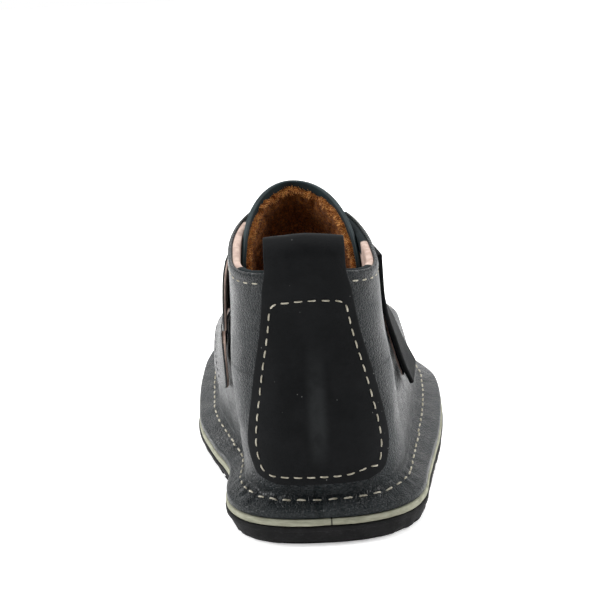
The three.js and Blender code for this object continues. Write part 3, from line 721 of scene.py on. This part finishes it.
def folds(turn, level, rows):
    """Soft troughs and ridges: (turn, level) of both ends, width and depth in millimetres."""
    total = np.zeros(np.broadcast(turn, level).shape)
    span = np.array([TURN_SPAN, RING_SPAN])
    x, y = turn * span[0], level * span[1]
    for t0, l0, t1, l1, width, depth in rows:
        a, b = (t0, l0) * span, (t1, l1) * span
        way = b - a
        s = np.clip(((x - a[0]) * way[0] + (y - a[1]) * way[1]) / (way @ way), 0, 1)
        bend = 0.18 * np.linalg.norm(way) * s * (1 - s)
        side = np.array([-way[1], way[0]]) / np.linalg.norm(way)
        gap = np.hypot(x - a[0] - way[0] * s - side[0] * bend, y - a[1] - way[1] * s - side[1] * bend)
        taper = 0.35 + 0.65 * np.sin(np.pi * np.clip(s, 0.02, 0.98))
        total += depth * np.exp(-((gap / width) ** 2)) * taper
    return total


QUARTER_FOLDS = (
    (0.1, 3.2, 0.24, 4.6, 3.4, -0.5),
    (0.12, 2.5, 0.3, 3.3, 3.0, -0.4),
    (0.14, 4.4, 0.27, 6.2, 3.6, -0.45),
    (-0.1, 3.0, -0.25, 4.4, 3.4, -0.5),
    (-0.13, 4.3, -0.26, 6.0, 3.6, -0.45),
    (-0.12, 2.1, -0.3, 2.9, 3.0, -0.4),
    (0.06, 1.6, 0.18, 2.1, 2.2, -0.3),
    (-0.06, 1.7, -0.17, 2.2, 2.2, -0.3),
)
VAMP_FOLDS = (
    (0.34, 1.1, 0.43, 3.0, 3.2, -0.55),
    (0.66, 1.0, 0.57, 3.0, 3.2, -0.55),
    (0.36, 0.8, 0.45, 2.2, 2.6, -0.4),
    (0.64, 0.8, 0.55, 2.2, 2.6, -0.4),
    (0.32, 0.7, 0.36, 1.9, 2.4, -0.35),
    (0.68, 0.7, 0.64, 1.9, 2.4, -0.35),
)


def puckers(turn, height_share):
    """Small gathers where the leather turns out over the flange, deepest round the heel's corners."""
    signed = (turn + 0.5) % 1 - 0.5
    corner = np.exp(-(((np.abs(signed) - 0.075) / 0.035) ** 2)) + 0.35
    toe = np.exp(-(((np.abs(np.abs(signed) - 0.42)) / 0.05) ** 2))
    along, up = signed * TURN_SPAN, height_share * 2
    wave = noise(along, up + 7, 2.1, 3) + 0.6 * noise(along, up + 3, 4.3, 5)
    return 0.55 * (corner + 0.5 * toe) * wave * np.sin(np.pi * np.clip(height_share, 0, 1)) ** 1.2


FLANGE_ROWS = 14
JOIN_LEVEL = 0.85


def section(turn, level, step, back_off, relief=0.0):
    """Outer and inner grids from the flange's edge up to the collar. turn: columns by rows."""
    outer_wall = offset_point(turn, level, step + relief)
    inner_wall = offset_point(turn, level, -back_off)
    a = outer_wall[0]
    turn0 = turn[0]
    top = FEATHER_HEIGHT + 0.4 * step
    rim_rows = (
        (1.3, FLANGE_FOOT + 0.02), (0.75, FLANGE_FOOT + 0.06), (0.5, FLANGE_FOOT + 0.3),
        (0.47, top - 0.75), (0.6, top - 0.25), (1.0, top + 0.05),
    )
    rim = [sole_point(turn0, inset, height) for inset, height in rim_rows]
    b = rim[-1]
    inward = unit(sole_point(turn0, 3.0, FEATHER_HEIGHT + 0.9) - sole_point(turn0, 1.0, FEATHER_HEIGHT))
    leave = b + 2.6 * inward
    arrive = a + 1.7 * unit(a - outer_wall[1])
    fillet = []
    for k in range(1, FLANGE_ROWS):
        t = k / FLANGE_ROWS
        p = b * (1 - t) ** 3 + leave * 3 * t * (1 - t) ** 2 + arrive * 3 * t * t * (1 - t) + a * t**3
        lift = puckers(turn0, t)
        out = unit(np.cross(np.gradient(p, axis=0), a - b))
        out *= np.where(out[:, 2:3] < 0, -1.0, 1.0)
        fillet.append(p + out * lift[:, None])
    outer = np.concatenate([np.array(rim), np.array(fillet), outer_wall])
    low = len(rim) + len(fillet)
    feather = last_point(turn0, 0.0)
    inner_low = []
    for k in range(low):
        t = (k + 1) / (low + 1)
        p = mix(sole_point(turn0, 1.5, FLANGE_FOOT), feather, t)
        p[:, 2] = FLANGE_FOOT + spring_at(p[:, 1])
        inner_low.append(p)
    inner = np.concatenate([np.array(inner_low), inner_wall])
    return outer, inner


def all_round(u, levels, reach):
    """Turns and levels of a wrap's grid."""
    turn = wrapped(u, reach[1], reach[-1])
    return turn, np.broadcast_to(levels[:, None], turn.shape)


def sewn(face, turn, level, at):
    """A line of a sheet's face to sew along, with its normals."""
    return face[at], last_normal(turn[at], level[at])


def rounded_top(outer, inner, edge):
    """Draws the two faces of a sheet together at its free edges."""
    middle = (outer + inner) / 2
    profile, _ = edge_profile(middle, edge, (False, True, True, True))
    return middle + (outer - middle) * profile[..., None], middle + (inner - middle) * profile[..., None]


# Quarters: one wrap round the heel, from the flange to the collar, with a cut front edge

top_levels = COLLAR_ROW - np.array([0.1, 0.07, 0.04, 0.02, 0.008, 0.0])
levels = np.concatenate([np.linspace(JOIN_LEVEL, 8.86, 74), top_levels])
u = tight_ends((0.0, 0.0006, 0.0016, 0.003, 0.005), 0.992, 300)
reach = {side: quarter_reach(levels, side) for side in (1, -1)}
turn, level = all_round(u, levels, reach)
below_top = (COLLAR_ROW - level) * COLLAR_SPAN
collar_ridge = 0.28 * np.exp(-((below_top - 1.7) / 1.3) ** 2)
collar_crease = 0.22 * np.exp(-((below_top - 3.6) / 0.55) ** 2)
wavy = 0.22 * ripple(turn, level, 16.0, 11) + 0.1 * ripple(turn, level, 7.0, 12)
calm = smooth((COLLAR_ROW - level) / 0.8)
relief = (folds(turn, level, QUARTER_FOLDS) + wavy) * calm + collar_ridge - collar_crease
relief *= smooth((1 - np.abs(u[None, :])) * reach[1][:, None] / 0.02) * 0.8 + 0.2
relief = np.clip(relief, -0.8, 0.3)
outer, inner = section(turn, level, QUARTER_STEP, 0.15, relief)
outer, inner = rounded_top(outer, inner, 0.7)
build("quarters", *sheet(outer, inner), leather, "grained_leather", ("upper",))

# Vamp: toe and instep, tucked under the quarters' edge

vamp_top = float(min(seams[1][0].max(), seams[-1][0].max()))
levels = np.concatenate([np.linspace(JOIN_LEVEL, vamp_top - 0.02, 50), [vamp_top]])
reach = {side: np.minimum(quarter_reach(levels, side), 0.485) - 0.006 for side in (1, -1)}
u = np.linspace(0, 1, 260)
turn = mix(reach[1][:, None], 1 - reach[-1][:, None], u[None, :])
level = np.broadcast_to(levels[:, None], turn.shape)
wavy = 0.25 * ripple(turn, level, 18.0, 21) + 0.08 * ripple(turn, level, 6.0, 22)
relief = np.clip(folds(turn, level, VAMP_FOLDS) + wavy, -0.9, 0.3)
outer, inner = section(turn, level, 0.0, 0.9, relief)
outer, inner = rounded_top(outer, inner, 0.5)
build("vamp", *sheet(outer, inner), vamp_leather, "grained_leather", ("upper",))

# Lining: pale flesh side, inside the whole upper

top_levels = COLLAR_ROW - np.array([0.1, 0.06, 0.03, 0.01, 0.0])
levels = np.concatenate([np.linspace(0.1, 8.86, 60), top_levels])
reach = {side: np.minimum(throat_turn(levels, side), FRONT_TURN) - 0.0015 for side in (1, -1)}
u = tight_ends((0.0, 0.002, 0.005), 0.99, 160)
turn, level = all_round(u, levels, reach)
wavy = 0.15 * ripple(turn, level, 9.0, 31)
outer = offset_point(turn, level, -0.95 + 0.75 * (level > 3.3))
inner = offset_point(turn, level, -WALL + wavy)
outer, inner = rounded_top(outer, inner, 0.6)
lining = build("lining", *sheet(outer, inner), lining_look, "grained_leather", ("upper",))
place = (inner + outer) / 2 + SHIFT
rear = 1 - smooth((place[..., 1] + 72) / 5)
front = smooth((place[..., 1] + 0.4 * place[..., 0] + 44.5) / 4)
turned = np.maximum(rear, front) * smooth((level - 8.55) / 0.12)
binding = lining.data.attributes.new("binding", "FLOAT", "POINT")
binding.data.foreach_set("value", np.tile(turned.ravel(), 2).astype(np.float32))

# Tongue: leather outside and as a border, fleece inside it

foot_level = float(level_at(0.5, INSTEP_HEIGHT - TONGUE_LAP))
peak = float(level_at(0.5, TONGUE_HEIGHT))
tongue_side = COLLAR_ROW - TONGUE_DROP


def tongue_place(u, v):
    top = mix(tongue_side, peak, np.sqrt(np.clip(1 - np.abs(u) ** 2.2, 0, None)))
    spread = mix(0.06, TONGUE_WRAP, smooth(v * 1.15))
    return 0.5 + spread * u, mix(foot_level, top, v)


near = WALL + CLEARANCE
skin_half = 0.75
u = np.sin(np.pi / 2 * (2 * lines(110, 0.02)[None, :] - 1))
v = lines(80, 0.015)[:, None]
turn, level = tongue_place(u, v)
profile, border = edge_profile(offset_point(turn, level, -near - skin_half), 0.7)
wavy = np.minimum(0.2 * ripple(turn, level, 8.0, 41) * smooth(border / 6), 0)
outer, inner = (
    offset_point(turn, level, -near - skin_half + half * profile + wavy) for half in (skin_half, -skin_half)
)
build("tongue_leather", *sheet(outer, inner), smooth_leather, "tongue_leather", ("tongue",))

FLEECE_BORDER = 2.6
u = np.sin(np.pi / 2 * np.linspace(-1, 1, 190))[None, :]
v = np.linspace(0, 1, 150)[:, None]
turn, level = tongue_place(u, v)
base = offset_point(turn, level, -near - 1.4)
_, border = edge_profile(base, 1.0)
ragged = 0.7 * noise(base[..., 0] + base[..., 2], base[..., 1] + 0.6 * base[..., 2], 2.6, 51)
inside = border - FLEECE_BORDER - ragged
pile = round_end(np.clip(inside, 0, None), 1.6, 2.0)
lumps = (
    0.5 * noise(base[..., 0] * 1.3, base[..., 2] + base[..., 1], 2.4, 52)
    + 0.35 * noise(base[..., 0] * 1.2 + 40, base[..., 2] - base[..., 1], 1.2, 53)
)
surface = offset_point(turn, level, -near - 1.35 - pile * (1.6 + lumps))
under = offset_point(turn, level, -near - 1.3)
keep = inside > -0.6
rows, columns = keep.shape
index = np.arange(rows * columns).reshape(rows, columns)
faces = []
for i in range(rows - 1):
    for j in range(columns - 1):
        if keep[i : i + 2, j : j + 2].all():
            faces.append((index[i, j], index[i + 1, j], index[i + 1, j + 1], index[i, j + 1]))
points = surface.reshape(-1, 3)
used = np.zeros(len(points), bool)
used[[k for f in faces for k in f]] = True
renumber = np.cumsum(used) - 1
shift = int(used.sum())
top_faces = [tuple(int(renumber[k]) for k in f) for f in faces]
edges = dict.fromkeys(pair for f in top_faces for pair in zip(f, f[1:] + f[:1]))
rim = [(a, b) for a, b in edges if (b, a) not in edges]
faces = top_faces + [tuple(shift + k for k in reversed(f)) for f in top_faces]
faces += [(b, a, shift + a, shift + b) for a, b in rim]
points = np.concatenate([surface.reshape(-1, 3)[used], under.reshape(-1, 3)[used]])
build("tongue_fleece", points, faces, fleece_look, "tongue_leather", ("tongue",))

# Tufts of the fleece: small bent tapers, leaning every way; the rim's tufts use a brighter copy of the
# fleece, a painted highlight where light catches the rim


def tufts(name, spots, count, low, high, look):
    spots = spots[rng.choice(len(spots), min(count, len(spots)), replace=False)]
    points, faces = [], []
    for i, j in spots:
        root, up = surface[i, j], normals[i, j]
        lean = unit(rng.normal(size=3))
        size = rng.uniform(low, high)
        side = unit(np.cross(up, lean))
        other = np.cross(side, up)
        base_at = len(points)
        for out, swing, wide in ((-0.15, 0.0, 0.17), (0.5, 0.35, 0.13), (0.8, 0.95, 0.02)):
            centre = root + up * out * size * 0.8 + other * swing * size * 0.8
            for c in range(3):
                a = 2 * np.pi * c / 3
                points.append(centre + wide * (side * np.cos(a) + (other + up) * 0.7 * np.sin(a)))
        faces += grid_faces(3, 3, base_at, around=True)
        faces.append((base_at + 6, base_at + 7, base_at + 8))
        faces.append((base_at + 2, base_at + 1, base_at))
    build(name, np.array(points), faces, look, "tongue_leather")


normals = -last_normal(turn, level)
tufts("fleece_tufts", np.argwhere((inside > 1.4) & keep), 4200, 0.5, 1.0, fleece_look)
tufts("fleece_rim_tufts", np.argwhere((inside > -0.3) & (inside < 1.5) & keep), 4600, 0.6, 1.15, rim_fleece_highlight)

# Heel patch: up the back, over the collar as a loop and down inside

outer_face = QUARTER_STEP + PATCH_GAP
inner_face = -(WALL + CLEARANCE)
fold_middle = (outer_face + inner_face - LOOP_SLACK) / 2
fold_inner = (outer_face - inner_face + LOOP_SLACK) / 2
fold_rise = COLLAR_HEIGHT + LOOP_RISE - fold_inner - PATCH_THICKNESS
half_thick = PATCH_THICKNESS / 2
stations = []
foot_rows = PATCH_FOOT + np.array([0.0, 0.05, 0.15, 0.35, 0.7, 1.1, 1.6, 2.2, 3.0])
for z in np.concatenate([foot_rows, np.linspace(24, fold_rise - 0.6, 92)]):
    stations.append((z, 0.0, outer_face + half_thick))
radius = fold_inner + half_thick
for angle in np.linspace(0, np.pi, 26):
    stations.append((fold_rise, radius * math.sin(angle), fold_middle + radius * math.cos(angle)))
tail_rise = (0.35 * LOOP_RISE, 0.05 * LOOP_RISE, -0.3 * LOOP_TAIL, -0.6 * LOOP_TAIL, -LOOP_TAIL)
tail_slack = (0.95, 0.8, 0.3, 0.0, 0.0)
for t in np.linspace(0.02, 1, 26):
    rise = mix(fold_rise - COLLAR_HEIGHT, -LOOP_TAIL, t)
    slack = float(np.interp(-rise, [-r for r in tail_rise], tail_slack))
    stations.append((COLLAR_HEIGHT + rise, 0.0, inner_face - half_thick - slack * LOOP_SLACK))
stations = np.array(stations)
side = 2 * lines(64, 0.022) - 1
z = stations[:, 0:1]
half = HEEL_WIDTH * curve(PATCH["height"], PATCH["half"], z / COLLAR_HEIGHT)
patch_level = level_at(0.0, z)
sideways = side[None, :] * half
turn = turn_at_side(patch_level, sideways)
patch_mid = offset_point(turn, patch_level, stations[:, 2:3])
patch_mid[..., 2] += stations[:, 1:2]
middle_x = last_point(0.0, patch_level)[..., 0]
folded = smooth((stations[:, 0:1] + stations[:, 1:2] - COLLAR_HEIGHT + 6) / 8) + (stations[:, 2:3] < 0)
patch_mid[..., 0] = mix(patch_mid[..., 0], middle_x + sideways, np.clip(folded, 0, 1))
patch_out = unit(np.cross(np.gradient(patch_mid, axis=1), np.gradient(patch_mid, axis=0)))
# Its outer side faces the back where it lies on the heel
if patch_out[30, 30, 1] > 0:
    patch_out = -patch_out
profile, border = edge_profile(patch_mid, 0.6)
wavy = 0.1 * noise(patch_mid[..., 0], patch_mid[..., 2], 9.0, 61) * smooth(border / 4)
outer = patch_mid + patch_out * (half_thick * profile + wavy)[..., None]
inner = patch_mid - patch_out * (half_thick * profile)[..., None]
build("heel_patch_leather", *sheet(outer, inner), nubuck, "matte_leather", ("heel_patch",))

# Straps, their panel


def edge_height(heights, share):
    start, middle, end = heights
    bow = 1 - np.abs(2 * share - 1) ** 1.7
    return COLLAR_HEIGHT * (mix(start, end, share) + (middle - mix(start, end, 0.5)) * bow)


def strap_face(share):
    bridge = STRAP_BRIDGE * (1 - smooth(np.abs(share - 0.5) / 0.25))
    pad = (PAD_THICKNESS + PAD_GAP + CLEARANCE - STRAP_GAP) * smooth((share - 0.66) / 0.1)
    lifted = STRAP_END_LIFT * smooth((share - 0.86) / 0.14)
    return QUARTER_STEP + STRAP_GAP + bridge + pad + lifted


def band(turn, level, face, thick):
    middle = face + thick / 2
    half = thick / 2 * edge_profile(offset_point(turn, level, middle), 0.6)[0]
    return offset_point(turn, level, middle + half), offset_point(turn, level, middle - half)


for strap in STRAPS:
    share = lines(110, 0.008)[None, :]
    across = lines(26, 0.03)[:, None]
    height = mix(edge_height(strap["low"], share), edge_height(strap["high"], share), across)
    ends = []
    for side, key, at in ((1, "start", 0.0), (-1, "end", 1.0)):
        end_height = mix(edge_height(strap["low"], at), edge_height(strap["high"], at), across)
        ends.append(place_at(side, SOLE_LENGTH * strap[key], end_height)[0])
    corner = 0.03 * np.abs(2 * across - 1) ** 3.5
    turn = mix(ends[0], ends[1] - corner, share)
    level = level_at(turn, height)
    face = strap_face(share) + 0.12 * noise(share * 150, height, 11.0, 71) * smooth(share / 0.2)
    outer, inner = band(turn, level, face, STRAP_THICKNESS)
    name = strap["name"]
    build(name + "_top", *sheet(outer, mix(inner, outer, 0.7)), strap_leather, "strap_leather", (name,))
    build(name + "_flesh", *sheet(mix(inner, outer, 0.68), inner), flesh, "strap_leather", (name,))
    rows = [sewn(outer, turn, level, np.s_[r, 6:-6]) for r in (6, -7)]
    stitches(name + "_stitches", rows, 3.6, 2.5, 0.16, black_thread, "strap_leather", 0.0, 0.3)

share = lines(40, 0.03)[None, :]
across = lines(70, 0.015)[:, None]
height = COLLAR_HEIGHT * mix(PANEL_FOOT["height"], PANEL_TOP["height"], across) + 0 * share
foot_place, top_place = (mix(row["back"], row["front"], share) for row in (PANEL_FOOT, PANEL_TOP))
place = mix(foot_place, top_place, across)
turn = place_at(1, SOLE_LENGTH * place, height)[0]
level = level_at(turn, height)
face = QUARTER_STEP + STRAP_GAP + STRAP_THICKNESS + CLEARANCE
outer, inner = band(turn, level, face, PANEL_THICKNESS)
build("strap_panel_leather", *sheet(outer, inner), nubuck, "matte_leather", ("strap_panel",))
rows = [sewn(outer, turn, level, np.s_[7:-7, c]) for c in (8, -9)]
stitches("panel_stitches", rows, 3.8, 2.6, 0.16, black_thread, "matte_leather", 0.0, 0.3)


# Stitching

# The row of the section half way up the fillet, above its six rim rows
MIDDLE_ROW = 6 + FLANGE_ROWS // 2


def flange_line(grid_turn, step):
    """The stitch line on the flange: the same fillet as the leather's, read half way up it."""
    levels = np.array([JOIN_LEVEL, JOIN_LEVEL + 0.1])[:, None] + 0 * grid_turn[None, :]
    turns = np.broadcast_to(grid_turn[None, :], levels.shape)
    outer, _ = section(turns, levels, step, 0.5)
    path = outer[MIDDLE_ROW]
    up = unit(np.cross(np.gradient(path, axis=0), outer[MIDDLE_ROW + 1] - outer[MIDDLE_ROW - 1]))
    up *= np.where(up[:, 2:3] < 0, -1.0, 1.0)
    return path, up


seam_at = {side: float(quarter_reach(np.array([JOIN_LEVEL]), side)[0]) for side in (1, -1)}
rows = [
    flange_line(np.linspace(-seam_at[-1], seam_at[1], 900), QUARTER_STEP),
    flange_line(np.linspace(seam_at[1], 1 - seam_at[-1], 900), 0.0),
]
stitches("welt_stitches", rows, 5.0, 3.3, 0.27, thread, "grained_leather", 0.12)

collar_line = COLLAR_ROW - 3.5 / COLLAR_SPAN
rows = []
for sign in (1, -1):
    far = float(quarter_reach(np.array([collar_line]), sign)[0])
    turns = sign * np.linspace(0.055, 0.985, 240) * far
    rows.append((offset_point(turns, collar_line, QUARTER_STEP - 0.2), last_normal(turns, collar_line)))
stitches("collar_stitches", rows, 4.2, 3.0, 0.21, thread, "grained_leather", 0.2)


def patch_line(path_side, path_z):
    row_level = level_at(0.0, path_z)
    turns = turn_at_side(row_level, path_side)
    return offset_point(turns, row_level, outer_face + PATCH_THICKNESS), last_normal(turns, row_level)


INSET = 2.5
SEAM_TOP = 81.0
z_up = np.linspace(PATCH_FOOT + 2.9, SEAM_TOP - 0.2, 120)
edge_share = np.maximum(z_up, PATCH_FOOT + 4.5) / COLLAR_HEIGHT
edge = HEEL_WIDTH * curve(PATCH["height"], PATCH["half"], edge_share) - INSET
foot_x = np.linspace(edge[0] - 0.8, -edge[0] + 0.8, 60)
foot_z = PATCH_FOOT + 2.7 + 2.0 * smooth((foot_x / edge[0] - 0.4) / 0.6)
top_x = np.linspace(-edge[-1] + 0.4, edge[-1] - 0.4, 46)
loop = np.concatenate([
    np.stack([-edge, z_up], -1),
    np.stack([top_x, np.linspace(SEAM_TOP, SEAM_TOP + 0.4, 46)], -1),
    np.stack([edge, z_up], -1)[::-1],
    np.stack([foot_x, foot_z], -1),
])
gone = np.concatenate([[0.0], np.cumsum(np.linalg.norm(np.diff(loop, axis=0), axis=1))])
even = np.linspace(0, gone[-1], 900)
loop = np.stack([np.interp(even, gone, loop[:, k]) for k in (0, 1)], -1)
for width in (7, 13):
    wide = np.concatenate([loop[-width:], loop, loop[:width]])
    weight = np.ones(2 * width + 1) / (2 * width + 1)
    loop = np.stack([np.convolve(wide[:, k], weight, "valid") for k in (0, 1)], -1)
stitches("patch_stitches", [patch_line(*loop.T)], 4.2, 3.1, 0.22, thread, "matte_leather", 0.14)


# Sole


def stack(rings_of_points):
    """A closed solid of stacked rings with flat ends."""
    rings_of_points = np.asarray(rings_of_points)
    n, m = rings_of_points.shape[:2]
    faces = grid_faces(n, m, 0, around=True)
    for start, flip in ((0, True), ((n - 1) * m, False)):
        for i in range(m // 2):
            quad = list(dict.fromkeys((i, i + 1, (m - i - 1) % m, (m - i) % m)))
            if len(quad) > 2:
                quad = [start + q for q in quad]
                faces.append(tuple(quad[::-1] if flip else quad))
    return rings_of_points.reshape(-1, 3), faces


AROUND = 360
t = np.arange(AROUND) / AROUND
side_rows = (
    (2.8, 0.0), (2.2, 0.03), (1.5, 0.12), (1.05, 0.3), (0.8, 0.5), (0.66, 0.68), (0.6, 0.73), (0.1, 0.765),
    (0.0, 0.8), (0.0, 0.93), (0.12, 0.97), (0.45, 1.0),
)
rough = 0.12 * noise(t * 540, 0.0, 5.0, 81)
waist = np.exp(-(((t - 0.8) / 0.09) ** 2))
nicks = 0.7 * smooth((noise(t * 540, 0.0, 4.5, 84) - 0.2) / 0.3)
outsole_rows = []
for inset, h in side_rows:
    drawn_in = 1.6 * waist * smooth((0.9 - h) / 0.7) * smooth((2.9 - inset) / 0.4)
    if h > 0:
        drawn_in = drawn_in + nicks * smooth((0.35 - h) / 0.2)
    if 0 < h < 1:
        drawn_in = drawn_in + rough
    outsole_rows.append(sole_point(t, inset + drawn_in, h * OUTSOLE_THICKNESS))
outsole_points, faces = stack(outsole_rows)
outsole = build("outsole_rubber", outsole_points, faces, rubber, "outsole_rubber", ("outsole",))
run = SOLE_LENGTH - 2 * TREAD_MARGIN
count = round(run / GROOVE_PITCH)
cut_points, cut_faces = [], []
for k in range(count + 1):
    y = TREAD_MARGIN + run * k / count
    top = float(spring_at(y)) + GROOVE_DEPTH
    base_at = len(cut_points)
    profile = ((-0.5, -12.0), (0.5, -12.0), (0.5, top - 0.5), (0.36, top), (-0.36, top), (-0.5, top - 0.5))
    for x in (-70.0, 70.0):
        for dy, z in profile:
            cut_points.append((x, y + dy * GROOVE_WIDTH, z))
    n = len(profile)
    cut_faces.append(tuple(base_at + i for i in reversed(range(n))))
    cut_faces.append(tuple(base_at + n + i for i in range(n)))
    cut_faces += grid_faces(2, n, base_at, around=True)
cutter = add("grooves", raw_mesh("grooves", cut_points, cut_faces))
cut = outsole.modifiers.new("cut", "BOOLEAN")
cut.operation = "DIFFERENCE"
cut.object = cutter
cut.solver = "EXACT"
bpy.context.view_layer.update()
baked = bpy.data.meshes.new_from_object(outsole.evaluated_get(bpy.context.evaluated_depsgraph_get()))
outsole.modifiers.clear()
outsole.data = baked
bpy.data.objects.remove(cutter)
for polygon in baked.polygons:
    polygon.use_smooth = True
baked.set_sharp_from_angle(angle=math.radians(35))

strip_rows = ((1.2, 0.0), (0.5, 0.02), (0.22, 0.2), (0.12, 0.5), (0.2, 0.82), (0.4, 0.98), (1.2, 1.0))
uneven = 0.14 * noise(t * 540, 0.0, 13.0, 82) + 0.06 * noise(t * 540, 0.0, 4.0, 83)
strip_foot, strip_height = MIDSOLE_FOOT - 0.12, MIDSOLE_THICKNESS + 0.24
strip = [sole_point(t, inset + uneven, strip_foot + h * strip_height) for inset, h in strip_rows]
build("midsole_strip", *stack(strip), foam, "midsole_foam", ("midsole",))

bed = []
for inset, h in ((0.3, 0.0), (0.1, 0.5), (0.35, 0.85), (0.9, 1.0)):
    p = offset_point(t, 0.0, -(WALL + CLEARANCE + inset))
    p[:, 2] = FLANGE_FOOT + h * INSOLE_THICKNESS + spring_at(p[:, 1])
    bed.append(p)
for share in (0.9, 0.75, 0.6, 0.45, 0.3, 0.15):
    p = bed[3].copy()
    p[:, 0] = mix(foot_centre(p[:, 1]), p[:, 0], share)
    p[:, 2] += 0.25 * noise(p[:, 0], p[:, 1], 5.0, 91)
    bed.append(p)
build("footbed_top", *stack(bed), footbed_look, "footbed", ("insole",))


# Camera, floor and lights

ELEVATION = math.radians(18.0)
ROLL = math.radians(3.0)
FOCAL_LENGTH = 158.1
CAMERA_SIDE = -5.28
CAMERA_BACK = -876.9
CAMERA_HEIGHT = 338.6
FLOOR_HALF = 0.8
forward = Vector((0.0, math.cos(ELEVATION), -math.sin(ELEVATION)))
up = Vector((0.0, math.sin(ELEVATION), math.cos(ELEVATION)))
right = Vector((1.0, 0.0, 0.0))
camera_right = math.cos(ROLL) * right - math.sin(ROLL) * up
camera_up = math.sin(ROLL) * right + math.cos(ROLL) * up
camera_data = bpy.data.cameras.new("camera")
camera_data.sensor_width = 36.0
camera_data.lens = FOCAL_LENGTH
camera_data.clip_start = 0.05
camera_data.clip_end = 20.0
camera = add("camera", camera_data)
place = Vector((CAMERA_SIDE + SHIFT[0], CAMERA_BACK, CAMERA_HEIGHT)) * MM
basis = Matrix((camera_right, camera_up, -forward)).transposed().to_4x4()
camera.matrix_world = Matrix.Translation(place) @ basis
bpy.context.scene.camera = camera

floor_look = Look("floor", 0.9)
floor_look.color((0.94, 0.94, 0.94))
floor_look.shader.inputs["Emission Color"].default_value = (1, 1, 1, 1)
floor_look.shader.inputs["Emission Strength"].default_value = 0.44
mesh = bpy.data.meshes.new("floor")
corners = [(x * FLOOR_HALF, y * FLOOR_HALF, 0) for x, y in ((-1, -1), (1, -1), (1, 1), (-1, 1))]
mesh.from_pydata(corners, [], [(0, 1, 2, 3)])
mesh.materials.append(floor_look.material)
add("floor", mesh)


def light(name, place, aim, size, power):
    data = bpy.data.lights.new(name, "AREA")
    data.shape = "RECTANGLE"
    data.size, data.size_y = size
    data.energy = power
    lamp = add(name, data)
    lamp.location = place
    lamp.rotation_euler = (Vector(aim) - Vector(place)).to_track_quat("-Z", "Y").to_euler()


# Place, aim and size in metres, power in watts
light("left", (-1.0, 0.0, 0.62), (0, 0, 0.06), (0.8, 0.6), 15.0)
light("right", (1.0, 0.15, 0.62), (0, 0, 0.06), (0.8, 0.6), 13.0)
light("top", (0.0, 0.2, 1.2), (0, 0, 0), (1.0, 0.8), 13.0)
light("far", (0.0, 1.3, 0.5), (0, 0, 0.03), (1.8, 0.5), 8.0)
world = bpy.data.worlds.new("world")
world.use_nodes = True
sky = world.node_tree.nodes["Background"]
sky.inputs["Color"].default_value = (1, 1, 1, 1)
rays = world.node_tree.nodes.new("ShaderNodeLightPath")
strength = world.node_tree.nodes.new("ShaderNodeMapRange")
strength.inputs["To Min"].default_value = 0.12
strength.inputs["To Max"].default_value = 1.0
world.node_tree.links.new(rays.outputs["Is Camera Ray"], strength.inputs["Value"])
world.node_tree.links.new(strength.outputs["Result"], sky.inputs["Strength"])
bpy.context.scene.world = world
bpy.context.scene.view_settings.view_transform = "Standard"
bpy.context.scene.view_settings.look = "None"
